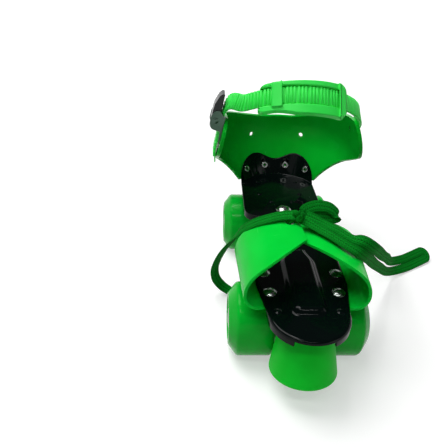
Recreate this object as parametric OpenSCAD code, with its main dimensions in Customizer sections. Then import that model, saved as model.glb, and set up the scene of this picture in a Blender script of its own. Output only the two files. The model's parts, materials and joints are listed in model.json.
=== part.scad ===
// Strap-on quad roller skate for a child's right shoe.
// Toe towards -Y, heel towards +Y, ground at Z = 0.
// The buckle is on the wearer's right, towards -X.

/* [Wheels] */
// Diameter of a wheel
wheel_d = 52; // [48:1:54]
// Width of a wheel
wheel_w = 33; // [30:1:36]
// Distance between the front and the rear axle
wheelbase = 130; // [126:1:140]
// Gap between the two wheels on one axle
wheel_gap = 31; // [31:0.5:36]
// Width of the outer bevel, along the axle
outer_bevel_w = 6; // [4:0.5:8]
// Depth of the outer bevel, towards the axle
outer_bevel_depth = 8; // [5:0.5:9]
// Width of the inner bevel, along the axle
inner_bevel_w = 3; // [2:0.5:5]
// Depth of the inner bevel, towards the axle
inner_bevel_depth = 7; // [4:0.5:8]
// Diameter of the hub recess in the outer face
hub_d = 30; // [26:1:32]
// Depth of the hub recess
hub_depth = 8; // [8:0.5:10]

/* [Bearings and axles] */
// Diameter of an axle
axle_d = 8; // [7:0.5:8.5]
// Outer diameter of a ball bearing
bearing_d = 22; // [21.5:0.5:23]
// Width of a ball bearing
bearing_w = 7; // [6.5:0.5:8]
// Diameter of a bearing ball
ball_d = 4; // [3.5:0.1:4.2]
// Balls in one bearing
balls = 7; // [5:1:8]
// Depth of the inner bearing in the wheel
bearing_inset = 1; // [0.5:0.5:2]
// Thickness of the washer under an axle nut
axle_washer_t = 1; // [0.8:0.1:1.2]
// Height of an axle nut
axle_nut_h = 6.5; // [5:0.5:6.5]
// Width across the flats of an axle nut
axle_nut_af = 13; // [12:0.5:14]

/* [Trucks] */
// Width over the cheeks of a truck
truck_w = 27; // [26:0.5:29]
// Thickness of the truck's steel
truck_t = 2; // [1.5:0.1:2.2]
// Length of the truck's flanges
truck_l = 50; // [46:1:51]
// Width over the truck's flanges
truck_flange_w = 58; // [56:0.5:58]
// Length of a cheek at the axle
cheek_l = 28; // [26:1:32]
// Depth of a cheek below the axle
cheek_drop = 13; // [12:0.5:15]
// Height of the cradle's walls above its floor
cradle_h = 16; // [14:0.5:18]
// Thickness of the cradle's steel
cradle_t = 1.5; // [1:0.1:2]

/* [Sole plates] */
// Height of the plates' top above the ground
deck_z = 63; // [62:0.5:66]
// Thickness of the plates' steel
plate_t = 1.5; // [1.2:0.1:2]
// Depth of the turned-down rim
rim_h = 6; // [5:0.5:8]
// Distance from the front axle to the toe end of the front plate
toe_ahead = 57; // [55:1:61]
// Radius of the toe end of the front plate
toe_r = 26; // [25:0.5:28]
// Width of the front plate
front_w = 62; // [62:0.5:66]
// Distance from the middle to the back end of the front plate
front_back_y = 15; // [13:0.5:18]
// Corner radius of the plates' inner ends
plate_corner_r = 14; // [10:1:18]
// Width of the raised rib of the front plate
rib_w = 21; // [19:0.5:22]
// Height of the raised rib above the plate
rib_h = 3.5; // [2.5:0.5:4]
// Distance from the front axle to the front end of the rib
rib_ahead = 33; // [29:1:35]
// Distance from the middle to the back end of the rib
rib_back_y = 35; // [34:1:40]
// Width of the heel plate
heel_w = 66; // [64:0.5:67]
// Distance from the middle to the front end of the heel plate
heel_front_y = 14; // [13:0.5:16]
// Height of the two lobes of the heel plate's back wall
lobe_h = 19; // [17:0.5:21]
// Distance between the two lobes
lobe_gap = 39; // [38:0.5:40]
// Height of the dip between the lobes
dip_h = 13; // [11:0.5:15]

/* [Length adjustment] */
// Width of the slide bar
bar_w = 22; // [20:0.5:22]
// Thickness of the slide bar
bar_t = 2; // [1.5:0.1:2.2]
// Diameter of the two plate bolts
bolt_d = 6; // [5:0.5:7]
// Diameter of the bolts' domed heads
dome_d = 13; // [12:0.5:14]
// Height of the domed heads
dome_h = 3; // [2.5:0.1:4]
// Distance from the middle to the front plate's bolt
front_bolt_y = 24; // [23.5:0.5:26]
// Distance from the middle to the adjusting bolt
heel_bolt_y = 26; // [25:0.5:27]
// How far the heel slides forward
close_travel = 26; // [20:1:26]
// How far the heel slides back
open_travel = 14; // [8:1:14]
// Diameter of the clamping washers
clamp_washer_d = 16; // [14:0.5:17]
// Thickness of the clamping washers
clamp_washer_t = 1.5; // [1:0.1:2]
// Width across the flats of the plate nuts
plate_nut_af = 10; // [9:0.5:11]
// Height of the plate nuts
plate_nut_h = 5; // [4:0.5:6]

/* [Toe stop] */
// Diameter of the toe stop at its seat
stop_top_d = 34; // [32:1:36]
// Diameter of the toe stop at its foot
stop_foot_d = 45; // [40:1:45]
// Height of the toe stop
stop_h = 35; // [32:1:36]
// Forward tilt of the toe stop
stop_tilt = 12; // [8:1:14]
// Distance from the front axle to the seat
stop_ahead = 32; // [32:0.5:34]
// Height of the seat above the ground
stop_z = 51; // [50:0.5:52]
// Width of the toe stop's bracket
stop_bracket_w = 32; // [32:0.5:34]

/* [Toe flaps] */
// Thickness of the flaps' plastic
flap_t = 2.5; // [2:0.1:3]
// Half width over the two flaps
flap_reach = 42.5; // [41:0.5:44]
// Height of the flaps' widest point
flap_belly_z = 68; // [67.5:0.5:70]
// Radius of the bend beside the plate
flap_low_r = 9; // [7:0.5:9]
// Radius of the shoulder bend
flap_shoulder_r = 26; // [24:0.5:27]
// Distance of a flap's tip from the middle plane before it leans
flap_tip_x = 1; // [0.5:0.5:3]
// Inward lean of the left flap, which is tucked under the right one
flap_lean = 7; // [6:1:9]
// Taper of the flaps towards the toe
flap_toe_in = 4; // [0:1:6]
// Distance from the front axle forward to the flaps' front corner
flap_ahead = 25; // [23:0.5:25]
// Distance from the front axle back to the flaps' back corner
flap_behind = 19; // [15:0.5:19]
// Width of a flap at its tip
flap_tip_w = 15; // [12:0.5:17]
// Diameter of the lace holes
lace_hole_d = 6; // [5:0.5:7]

/* [Heel cup] */
// Thickness of the cup's plastic
cup_t = 2.6; // [2:0.1:3]
// Distance from the middle to the centre of the cup's round back
cup_y = 56.5; // [55:0.5:58]
// Inner radius of the cup at the rivets
cup_r = 42.5; // [42:0.5:43.5]
// Height of the rivets' row above the plate
cup_rivet_h = 7.5; // [7:0.5:8]
// Outward flare of the lower wall
cup_flare = 26; // [22:1:28]
// Inward lean of the upper wall
cup_lean = 12; // [8:1:14]
// Height above the rivets where the wall starts to turn
cup_turn_h = 19; // [17:0.5:21]
// Radius of the turn in the wall
cup_turn_r = 34; // [30:1:38]
// Distance from the middle to the wings' front edge
wing_y = 21; // [20:0.5:22]
// Height of the wings' top above the ground
wing_top_z = 138; // [136:0.5:140]
// Height of the back rim above the ground
back_top_z = 115; // [112:0.5:118]
// Radius of the cut under each wing
wing_cut_r = 40.5; // [39:0.5:42]
// Diameter of the vent holes
vent_d = 5; // [4:0.5:6]
// Height of the steel strip round the heel
strip_h = 9; // [8:0.5:10]
// Thickness of the steel strip
strip_t = 0.8; // [0.6:0.1:1.2]

/* [Ankle strap] */
// Width of the strap
strap_w = 12.5; // [11:0.5:13]
// Thickness of the strap
strap_t = 2.2; // [1.8:0.1:2.4]
// Distance from the middle to the point where the strap leaves the wings
strap_y = 36; // [34:0.5:38]
// Height of that point above the ground
strap_z = 139; // [137:0.5:140]
// Rise of the strap's loop from the wings
strap_rise = 40; // [38:1:44]
// Length of the strap along the fixed wing
strap_fixed_l = 30; // [24:6:36]
// Length of the strap's free end, from that point down through the buckle
strap_tail_l = 38; // [32:2:44]
// Height of the strap pad
pad_h = 24; // [22:0.5:26]
// Length of the strap pad
pad_l = 62; // [58:1:64]
// Thickness of the strap pad
pad_t = 2.2; // [2:0.1:2.6]

/* [Buckle] */
// Thickness of the buckle's steel
buckle_t = 1; // [0.8:0.1:1.2]
// Height of the buckle frame
buckle_h = 26; // [24:0.5:28]
// Reach of the cheeks from the wing
buckle_reach = 11; // [10.5:0.5:12]
// Diameter of the pivot pin
pin_d = 3; // [2.5:0.5:3.5]
// Length of the lever above its pivot
lever_l = 20; // [18:1:22]
// Thickness of the lever
lever_t = 3.4; // [3:0.1:3.8]

/* [Fits] */
// Radial gap of turning and sliding fits
run_gap = 0.05; // [0.02:0.01:0.08]
// Gap between soft pieces and their neighbours
soft_gap = 0.3; // [0.2:0.05:0.4]

/* [Hidden] */
$fn = 64;

axle_z = wheel_d / 2;
wheel_in = wheel_gap / 2;
wheel_out = wheel_in + wheel_w;
deck_under = deck_z - plate_t;
flange_under = deck_under - truck_t;
truck_in = truck_w / 2 - truck_t;
cheek_z = axle_z - cheek_drop;

// Places at the toe, measured from the middle
front_axle_y = wheelbase / 2;
toe_y = front_axle_y + toe_ahead;
rib_front_y = front_axle_y + rib_ahead;
stop_y = front_axle_y + stop_ahead;
flap_front_y = front_axle_y + flap_ahead;
flap_back_y = front_axle_y - flap_behind;

// Bearing seats along the axle, from the middle plane outwards
seat_in = wheel_in + bearing_inset;
seat_out = wheel_out - hub_depth - bearing_w;
race_t = 2;
pitch_r = (axle_d / 2 + bearing_d / 2) / 2;
groove_r = ball_d / 2 + run_gap;
race_in_r = axle_d / 2 + race_t;
race_out_r = bearing_d / 2 - race_t;
shield_t = 0.5;
bearing_shoulder = 2.5;

// Rivets
rivet_d = 4;
rivet_head_d = 9;
rivet_head_h = 2;
flush_head_d = 5;
flush_head_h = 0.7;
front_rivets = [[22.5, -15], [25, 5]];
rear_rivets = [[18, -12], [18, 12]];

// Heel cup wall: straight flare, round turn, straight lean
cup_z = deck_z + cup_rivet_h;
turn_z = cup_z + cup_turn_h;
turn_start_r = cup_r + cup_turn_h * tan(cup_flare);
turn_c = [turn_start_r - cup_turn_r * cos(cup_flare), turn_z + cup_turn_r * sin(cup_flare)];
lean_start = turn_c + cup_turn_r * [cos(cup_lean), sin(cup_lean)];
cup_foot_z = deck_z + 1;
wall_top_z = wing_top_z + 10;
function flare_r(z) = cup_r + (z - cup_z) * tan(cup_flare);
function lean_r(z) = lean_start[0] - (z - lean_start[1]) * tan(cup_lean);
function wing_x(z) = lean_r(z) + cup_t / cos(cup_lean);
heel_rivet_angles = [-42, -14, 14, 42];
wing_cut_c = [wing_y + 16, deck_z - 2];
wing_corner_r = (wing_top_z - wing_cut_c[1] - wing_cut_r) / 2;
vent_angle = 25;
vent_z = 98;

// Strap loop: a circle in a plane that rises towards the toe
loop_lead = 10;
strap_x = wing_x(strap_z) + soft_gap + strap_t / 2;
loop_r = strap_x / cos(loop_lead);
loop_drop = loop_r * sin(loop_lead);
loop_y = strap_y + loop_drop * cos(strap_rise);
loop_z = strap_z - loop_drop * sin(strap_rise);
buckle_rise = 94;
rise_from = 135;
loop_step = 5;
pad_shift = 1.5;
pad_corner_r = 6;
bridge_w = 7;
bridge_x = -17.5;
pad_end_w = 6;

// Buckle, measured from the outer face of the wing
buckle_z = strap_z - 7;
cheek_h = 16;
buckle_base_h = 20;
buckle_in_w = strap_w + 2 * soft_gap;
strap_off = soft_gap + strap_t / 2;
pivot_x = buckle_t + strap_off + strap_t / 2 + soft_gap + lever_t;
pivot_z = 5;
lever_w = buckle_in_w - 2 * soft_gap;
strap_rivet_back = 18;
tail_bend = 26;
buckle_rivet_drop = 6;

// Toe flaps: centre line of the bent sheet, from the tab to the tip
flap_tab_z = flange_under - flap_t / 2;
flap_tab_x = 16;
flap_bend_x = flap_reach - flap_t / 2 - flap_low_r;
flap_bend_c = [flap_bend_x, flap_tab_z + flap_low_r];
flap_shoulder_c = [flap_reach - flap_t / 2 - flap_shoulder_r, flap_belly_z];
flap_shoulder_a = 50;
flap_tip_a = 100;
flap_turn = flap_shoulder_c + flap_shoulder_r * [cos(flap_shoulder_a), sin(flap_shoulder_a)];
flap_top_r = (flap_turn[0] - flap_tip_x) / (cos(flap_shoulder_a) - cos(flap_tip_a));
flap_top_c = flap_turn - flap_top_r * [cos(flap_shoulder_a), sin(flap_shoulder_a)];
flap_crown_z = flap_top_c[1] + flap_top_r + flap_t / 2;
lace_hole = [9, 15 - front_axle_y];

// Lace: flat woven band, its routes chosen by hand for an axle 65 in front of the middle
lace_move = [0, 65 - front_axle_y, 0];
lace_size = [8, 2];
bunch_size = [4.4, 3];
lace_sides = 8;
knot = [-3, -50, 103.5];
knot_d = 9;
function blend(a, b, t) = a + (b - a) * max(0, min(1, t));
function tail_side(z) = blend([0.8, 0.52, 0.2], [0, 0.93, 0.36], (z - 65) / 20);
tail_route = [
    [-6, -49, 103], [-17, -45, 100.5], [-28, -44, 96], [-38, -43, 88], [-45, -39, 79], [-49, -32, 67],
    [-52, -24, 53], [-54, -15, 38], [-55, -6, 22], [-55, 1, 9], [-53, 4, 3], [-47, 0, 2], [-39, -11, 2],
    [-31, -23, 2]
];
function loop_side(z) =
    z > 80 ? blend([-0.2, 0.9, 0.38], [0.4, 0.9, 0.05], (z - 80) / 12)
    : z > 30 ? blend([0.82, 0.27, 0.49], [-0.2, 0.9, 0.38], (z - 58) / 22)
    : blend([0.6, -0.8, 0.1], [0.82, 0.27, 0.49], (z - 8) / 22);
loop_route = [
    [-1, -51, 102], [8, -59, 98.5], [17, -65, 96.5], [26, -66, 93.5], [34, -63, 89], [42, -57, 81],
    [49, -49, 68], [58, -38, 52], [69, -24, 35], [83, -8, 18], [100, 10, 6], [118, 24, 2], [132, 34, 2],
    [139, 39, 4], [140, 40, 7], [135, 37, 9], [118, 29, 8], [101, 17, 12], [85, 0, 26], [71, -15, 42],
    [60, -28, 58], [51, -39, 73], [43, -46, 84.5], [35, -51, 91], [26, -54, 95.5], [16, -54, 98.5],
    [7, -51, 101.5], [0, -49, 104]
];
small_side = [-0.3, 0.95, 0];
small_loop_route = [
    [-1, -49, 105], [7, -46, 106.5], [15, -43, 106], [22, -42, 103.5], [25, -42, 100.5], [21, -43, 98.5],
    [14, -44, 99.5], [7, -47, 102.5], [0, -49, 104.5]
];
under_side = [0, 1, 0];
under_route = [
    [-9, -50, 91], [-9, -50, 98], [-6, -50, 100.8], [0, -50, 101], [6, -50, 98.5], [9, -50, 95], [9, -50, 87]
];
tail_sides = [for (p = tail_route) tail_side(p[2])];
loop_sides = [for (p = loop_route) loop_side(p[2])];
small_sides = [for (p = small_loop_route) small_side];
under_sides = [for (p = under_route) under_side];

// Points of an arc about c, from angle a0 to angle a1
function arc(c, r, a0, a1, n) =
    [for (i = [0:n]) let (a = a0 + (a1 - a0) * i / n) c + r * [cos(a), sin(a)]];

// A side outline drawn as (Y, Z), made w thick about the middle plane
module across(w) {
    rotate([90, 0, 90])
        linear_extrude(w, center = true)
            children();
}

// Both sides of the middle plane
module both() {
    children();
    mirror([1, 0, 0]) children();
}

module on_axle(side, y) {
    translate([0, y, axle_z])
        mirror([side < 0 ? 1 : 0, 0, 0])
            rotate([0, 90, 0])
                children();
}

module hex_nut(af, h, bore) {
    difference() {
        intersection() {
            cylinder(d = af / cos(30), h = h, $fn = 6);
            translate([0, 0, h / 2]) sphere(d = sqrt(pow(af * 1.08, 2) + h * h));
        }
        translate([0, 0, -1]) cylinder(d = bore, h = h + 2);
    }
}

module ring(d, bore, h) {
    difference() {
        cylinder(d = d, h = h);
        translate([0, 0, -1]) cylinder(d = bore, h = h + 2);
    }
}

// A low dome on the XY plane
module dome(d, h) {
    ball_r = (d * d / 4 + h * h) / (2 * h);
    intersection() {
        translate([0, 0, h - ball_r]) sphere(ball_r);
        cylinder(d = d, h = h);
    }
}

// A rivet whose domed head sits at Z = 0 and whose upset end closes a stack of this depth
module rivet(d, head_d, head_h, stack) {
    dome(head_d, head_h);
    translate([0, 0, -stack]) cylinder(d = d, h = stack + head_h / 2);
    translate([0, 0, -stack]) mirror([0, 0, 1]) dome(d * 1.6, d * 0.3);
}

// Wheels and their bearings

module wheel(side, y) {
    r = wheel_d / 2;
    seat_r = bearing_d / 2 + run_gap;
    shoulder_r = bearing_d / 2 - bearing_shoulder;
    color("limegreen")
        on_axle(side, y)
            rotate_extrude()
                polygon([
                    [seat_r, wheel_in], [r - inner_bevel_depth, wheel_in], [r, wheel_in + inner_bevel_w],
                    [r, wheel_out - outer_bevel_w], [r - outer_bevel_depth, wheel_out],
                    [hub_d / 2, wheel_out],
                    [hub_d / 2, seat_out + bearing_w], [seat_r, seat_out + bearing_w], [seat_r, seat_out],
                    [shoulder_r, seat_out], [shoulder_r, seat_in + bearing_w], [seat_r, seat_in + bearing_w]
                ]);
}

module outer_race(z) {
    translate([0, 0, z])
        rotate_extrude()
            difference() {
                union() {
                    translate([race_out_r, 0]) square([race_t, bearing_w]);
                    for (s = [0, bearing_w - shield_t])
                        translate([race_in_r + soft_gap, s])
                            square([race_out_r - race_in_r - soft_gap + 1, shield_t]);
                }
                translate([pitch_r, bearing_w / 2]) circle(groove_r);
            }
}

module inner_race(z) {
    translate([0, 0, z])
        rotate_extrude()
            difference() {
                translate([axle_d / 2 + run_gap, 0]) square([race_t - run_gap, bearing_w]);
                translate([pitch_r, bearing_w / 2]) circle(groove_r);
            }
}

module races(side, y) {
    color("silver")
        on_axle(side, y)
            for (z = [seat_in, seat_out])
                outer_race(z);
}

module ball_set(side, y) {
    color("gainsboro")
        on_axle(side, y)
            for (z = [seat_in, seat_out])
                for (i = [0:balls - 1])
                    rotate([0, 0, 360 * i / balls])
                        translate([pitch_r, 0, z + bearing_w / 2])
                            sphere(d = ball_d);
}

module inner_races(y) {
    color("silver")
        for (side = [-1, 1])
            for (z = [seat_in, seat_out])
                on_axle(side, y)
                    inner_race(z);
}

// Axles and what is threaded on them

module axle(y) {
    color("silver")
        translate([0, y, axle_z])
            rotate([0, 90, 0])
                cylinder(d = axle_d, h = 2 * wheel_out, center = true);
}

module axle_spacers(y) {
    bore = axle_d + 2 * run_gap;
    color("silver")
        for (side = [-1, 1])
            on_axle(side, y) {
                translate([0, 0, truck_w / 2]) ring(axle_d + 2 * race_t, bore, seat_in - truck_w / 2);
                translate([0, 0, seat_in + bearing_w]) ring(axle_d + 3, bore, seat_out - seat_in - bearing_w);
            }
}

module axle_washers(y) {
    color("silver")
        for (side = [-1, 1])
            on_axle(side, y)
                translate([0, 0, seat_out + bearing_w])
                    ring(axle_d + 2 * race_t, axle_d + 2 * run_gap, axle_washer_t);
}

module axle_nuts(y) {
    color("silver")
        for (side = [-1, 1])
            on_axle(side, y)
                translate([0, 0, seat_out + bearing_w + axle_washer_t])
                    hex_nut(axle_nut_af, axle_nut_h, axle_d + 2 * run_gap);
}

// Trucks

module cheek_outline() {
    foot_r = 5;
    half = cheek_l / 2;
    polygon(concat(
        [[-truck_l / 2, deck_under], [-half, axle_z + foot_r]],
        arc([-half + foot_r, cheek_z + foot_r], foot_r, 180, 270, 6),
        arc([half - foot_r, cheek_z + foot_r], foot_r, 270, 360, 6),
        [[half, axle_z + foot_r], [truck_l / 2, deck_under]]
    ));
}

module truck(y, rivets) {
    flange_l = (truck_flange_w - truck_w) / 2 + truck_t;
    color("#16181a")
        translate([0, y, 0])
            difference() {
                both() {
                    translate([truck_w / 2 - truck_t / 2, 0, 0]) across(truck_t) cheek_outline();
                    translate([truck_in, 0, flange_under])
                        linear_extrude(truck_t)
                            polygon([
                                [0, -truck_l / 2], [flange_l - 4, -truck_l / 2],
                                [flange_l, 10 - truck_l / 2], [flange_l, truck_l / 2 - 10],
                                [flange_l - 4, truck_l / 2], [0, truck_l / 2]
                            ]);
                }
                translate([0, 0, axle_z]) rotate([0, 90, 0])
                    cylinder(d = axle_d + 2 * run_gap, h = truck_w + 2, center = true);
                for (side = [-1, 1], p = rivets)
                    translate([side * p[0], p[1], flange_under - 1])
                        cylinder(d = rivet_d + 2 * run_gap, h = truck_t + 2);
            }
}

// Folded channel that closes the lower half of a truck
module axle_cradle(y) {
    half = cheek_l / 2 - cradle_t;
    floor_z = cheek_z + 1;
    bend_r = 3;
    color("#16181a")
        translate([0, y, 0])
            across(2 * truck_in)
                difference() {
                    polygon(concat(
                        [[half, floor_z + cradle_h], [-half, floor_z + cradle_h]],
                        arc([-half + bend_r, floor_z + bend_r], bend_r, 180, 270, 6),
                        arc([half - bend_r, floor_z + bend_r], bend_r, 270, 360, 6)
                    ));
                    translate([-half + cradle_t, floor_z + cradle_t])
                        square([2 * half - 2 * cradle_t, cradle_h]);
                }
}

// Sole plates and the slide bar

module front_outline(inset) {
    half = front_w / 2 - inset;
    corner = plate_corner_r - inset;
    toe_half = toe_r - inset;
    toe_c = -toe_y + toe_r;
    widest = toe_c + toe_r;
    translate([0, toe_c]) circle(toe_half);
    polygon(concat(
        [[toe_half, toe_c], [half, widest]],
        arc([half - corner, -front_back_y - inset - corner], corner, 0, 90, 8),
        arc([-half + corner, -front_back_y - inset - corner], corner, 90, 180, 8),
        [[-half, widest], [-toe_half, toe_c]]
    ));
}

module rib_outline(inset) {
    half = rib_w / 2 - inset;
    narrow = half * 0.6;
    taper = 12;
    front_c = -rib_front_y + rib_w / 2;
    polygon(concat(
        arc([0, front_c], half, 180, 360, 16),
        [[half, -rib_back_y - taper], [narrow, -rib_back_y - inset], [-narrow, -rib_back_y - inset]],
        [[-half, -rib_back_y - taper]]
    ));
}

module front_plate() {
    flap_cut = flap_front_y - flap_back_y + 4;
    color("#101214")
        difference() {
            union() {
                translate([0, 0, deck_under]) linear_extrude(plate_t) front_outline(0);
                translate([0, 0, deck_under]) linear_extrude(plate_t + rib_h) rib_outline(0);
                difference() {
                    translate([0, 0, deck_z - rim_h]) linear_extrude(rim_h) front_outline(0);
                    translate([0, 0, deck_z - rim_h - 1]) linear_extrude(rim_h) front_outline(plate_t);
                    translate([-front_w, -flap_front_y - 2, deck_z - rim_h - 1])
                        cube([2 * front_w, flap_cut, rim_h + 1 - plate_t]);
                    translate([-truck_w / 2, -front_bolt_y, deck_z - rim_h - 1])
                        cube([truck_w, front_bolt_y, rim_h + 1 - plate_t]);
                    translate([-stop_top_d / 2, -toe_y - 1, deck_z - rim_h - 1])
                        cube([stop_top_d, 15, rim_h - 1.5]);
                }
            }
            translate([0, 0, deck_under - 1]) linear_extrude(rib_h + 1) rib_outline(plate_t);
            translate([0, -front_bolt_y, deck_under - 1]) cylinder(d = bolt_d + 2 * run_gap, h = plate_t + 2);
            for (side = [-1, 1], p = front_rivets)
                translate([side * p[0], -wheelbase / 2 + p[1], deck_under - 1])
                    cylinder(d = rivet_d + 2 * run_gap, h = plate_t + 2);
            for (side = [-1, 1])
                translate([side * stop_rivet[0], stop_rivet[1], deck_under - 1])
                    cylinder(d = rivet_d + 2 * run_gap, h = plate_t + 2);
        }
}

module heel_outline(inset) {
    half = heel_w / 2 - inset;
    corner = plate_corner_r - inset;
    front = heel_front_y + inset;
    intersection() {
        polygon(concat(
            arc([-half + corner, front + corner], corner, 180, 270, 8),
            arc([half - corner, front + corner], corner, 270, 360, 8),
            [[half, cup_y + cup_r], [-half, cup_y + cup_r]]
        ));
        union() {
            translate([0, cup_y]) circle(flare_r(deck_under) - run_gap);
            translate([-heel_w, 0]) square([2 * heel_w, cup_y]);
            translate([-heel_w / 2, cup_y]) square([heel_w, lobe_side_y]);
        }
    }
}

// Back wall of the heel plate, with its two lobes
module heel_wall() {
    top_z = deck_z + lobe_h + 2;
    skin = plate_t / cos(cup_flare);
    lobe_x = lobe_gap / 2;
    lobe_r = heel_w / 2 - lobe_x;
    lobe_z = deck_z + lobe_h - lobe_r;
    wave = [for (i = [1:11]) let (x = lobe_x * (1 - i / 6))
        [x, deck_z + lobe_h - (lobe_h - dip_h) * (1 + cos(180 * x / lobe_x)) / 2]];
    intersection() {
        translate([0, cup_y, 0])
            rotate_extrude(angle = 180)
                polygon([
                    [flare_r(deck_under) - run_gap - skin, deck_under],
                    [flare_r(deck_under) - run_gap, deck_under],
                    [flare_r(top_z) - run_gap, top_z], [flare_r(top_z) - run_gap - skin, top_z]
                ]);
        rotate([90, 0, 0])
            linear_extrude(6 * cup_r, center = true)
                polygon(concat(
                    [[-heel_w / 2, deck_under], [heel_w / 2, deck_under]],
                    arc([lobe_x, lobe_z], lobe_r, 0, 90, 10), wave,
                    arc([-lobe_x, lobe_z], lobe_r, 90, 180, 10)
                ));
    }
}

// Where the plate's straight sides meet its round back wall, past the cup's centre
lobe_side_y = sqrt(pow(flare_r(deck_under) - run_gap, 2) - pow(heel_w / 2, 2));

module heel_plate() {
    pip_d = 4;
    color("#101214")
        difference() {
            union() {
                translate([0, 0, deck_under]) linear_extrude(plate_t) heel_outline(0);
                heel_wall();
                difference() {
                    translate([0, 0, deck_z - rim_h]) linear_extrude(rim_h) heel_outline(0);
                    translate([0, 0, deck_z - rim_h - 1]) linear_extrude(rim_h) heel_outline(plate_t);
                    translate([-truck_w / 2, 0, deck_z - rim_h - 1])
                        cube([truck_w, cup_y, rim_h + 1 - plate_t]);
                    translate([-heel_w, cup_y, deck_z - rim_h - 1])
                        cube([2 * heel_w, cup_r, rim_h + 1 - plate_t]);
                }
                for (side = [-1, 1])
                    translate([side * 9, heel_bolt_y + 13, deck_z]) dome(pip_d, 0.8);
            }
            translate([0, heel_bolt_y, deck_under - 1]) cylinder(d = bolt_d + 2 * run_gap, h = plate_t + 2);
            for (side = [-1, 1], p = rear_rivets)
                translate([side * p[0], wheelbase / 2 + p[1], deck_under - 1])
                    cylinder(d = rivet_d + 2 * run_gap, h = plate_t + 2);
            heel_rivet_places() cylinder(d = rivet_d + 2 * run_gap, h = 20, center = true);
        }
}

bar_under = deck_under - run_gap - bar_t;
bar_front_y = wheelbase / 2 - truck_l / 2 + 12;
bar_back_y = heel_bolt_y + open_travel + 23;

module slide_bar() {
    slot_w = bolt_d + 2 * run_gap;
    end_r = bar_w / 2;
    color("silver")
        translate([0, 0, bar_under])
            linear_extrude(bar_t)
                difference() {
                    union() {
                        translate([-bar_w / 2, -bar_front_y])
                            square([bar_w, bar_front_y + bar_back_y - end_r]);
                        translate([0, bar_back_y - end_r]) circle(end_r);
                    }
                    translate([0, -front_bolt_y]) circle(d = slot_w);
                    for (y = [heel_bolt_y - close_travel - 0.5, heel_bolt_y + open_travel + 0.5])
                        translate([0, y]) circle(d = slot_w);
                    translate([-slot_w / 2, heel_bolt_y - close_travel - 0.5])
                        square([slot_w, close_travel + open_travel + 1]);
                }
}

module plate_bolt(y) {
    below = deck_under - bar_under + 2 * run_gap + clamp_washer_t + plate_nut_h + 1;
    color("gainsboro")
        translate([0, y, 0]) {
            translate([0, 0, deck_z]) dome(dome_d, dome_h);
            translate([0, 0, deck_under - below]) cylinder(d = bolt_d, h = below + plate_t + dome_h / 2);
        }
}

module clamp_washer(y) {
    color("silver")
        translate([0, y, bar_under - run_gap - clamp_washer_t])
            ring(clamp_washer_d, bolt_d + 2 * run_gap, clamp_washer_t);
}

module plate_nut(y) {
    color("silver")
        translate([0, y, bar_under - 2 * run_gap - clamp_washer_t - plate_nut_h])
            hex_nut(plate_nut_af, plate_nut_h, bolt_d + 2 * run_gap);
}

// Toe flaps

// A point of the flap's section turned about the bend's centre
function leaned(p, lean) =
    let (d = p - flap_bend_c)
    flap_bend_c + [d[0] * cos(lean) - d[1] * sin(lean), d[0] * sin(lean) + d[1] * cos(lean)];

// One face of the bent sheet as (X, Z), off from its centre line: tab, bend, shoulder and crown
function flap_face(off, lean) = concat(
    [[flap_tab_x, flap_tab_z - off]],
    arc(flap_bend_c, flap_low_r + off, -90, lean, 14),
    [for (p = arc(flap_shoulder_c, flap_shoulder_r + off, 0, flap_shoulder_a, 10)) leaned(p, lean)],
    [for (i = [1:9]) let (a = flap_shoulder_a + (flap_tip_a - flap_shoulder_a) * i / 9)
        leaned(flap_top_c + (flap_top_r + off) * [cos(a), sin(a)], lean)]
);

module flap_section(lean) {
    inner = flap_face(-flap_t / 2, lean);
    polygon(concat(
        flap_face(flap_t / 2, lean),
        [for (i = [len(inner) - 1:-1:0]) inner[i]]
    ));
}

// Outline of a flap seen from the side, as (Y, Z)
module flap_outline() {
    foot_z = flange_under - flap_t - 1;
    corner_r = 12;
    tip_back = lace_hole[1] + flap_tip_w / 2;
    polygon(concat(
        [[-flap_back_y, foot_z]],
        arc([-flap_front_y + corner_r, foot_z + corner_r], corner_r, 270, 180, 8),
        [[-toe_y, flap_belly_z], [-toe_y, flap_crown_z + 1]],
        [[tip_back, flap_crown_z + 1], [tip_back, flap_crown_z - 8]]
    ));
}

// Outline of a flap seen from above, with the curved edge of the toe opening
module flap_plan() {
    side = [flap_reach + 4, -flap_front_y + 4];
    bulge = [flap_reach - 18, -flap_front_y - 14];
    tip = [-8, lace_hole[1] - flap_tip_w / 2];
    polygon(concat(
        [for (i = [0:16]) let (t = i / 16) side * (1 - t) * (1 - t) + 2 * bulge * t * (1 - t) + tip * t * t],
        [[-8, 0], [2 * flap_reach, 0], [2 * flap_reach, side[1]]]
    ));
}

module toe_flap(side) {
    lean = side > 0 ? flap_lean : 0;
    color("limegreen")
        mirror([side < 0 ? 1 : 0, 0, 0])
            difference() {
                intersection() {
                    translate([0, -wheelbase / 2, 0])
                        rotate([0, 0, -flap_toe_in])
                            rotate([90, 0, 0])
                                linear_extrude(toe_y, center = true)
                                    flap_section(lean);
                    across(4 * flap_reach) flap_outline();
                    linear_extrude(2 * flap_crown_z) flap_plan();
                }
                for (p = front_rivets)
                    translate([p[0], -wheelbase / 2 + p[1], flap_tab_z - flap_t])
                        cylinder(d = rivet_d + 2 * run_gap, h = 2 * flap_t);
                translate([lace_hole[0], lace_hole[1], flap_crown_z - 12]) cylinder(d = lace_hole_d, h = 16);
            }
}

module toe_flap_rivets() {
    color("gainsboro")
        for (side = [-1, 1], p = front_rivets)
            translate([side * p[0], -wheelbase / 2 + p[1], deck_z])
                rivet(rivet_d, rivet_head_d, rivet_head_h, plate_t + truck_t + flap_t);
}

module rear_truck_rivets() {
    color("#16181a")
        for (side = [-1, 1], p = rear_rivets)
            translate([side * p[0], wheelbase / 2 + p[1], deck_z])
                rivet(rivet_d, flush_head_d, flush_head_h, plate_t + truck_t);
}

// Toe stop

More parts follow.
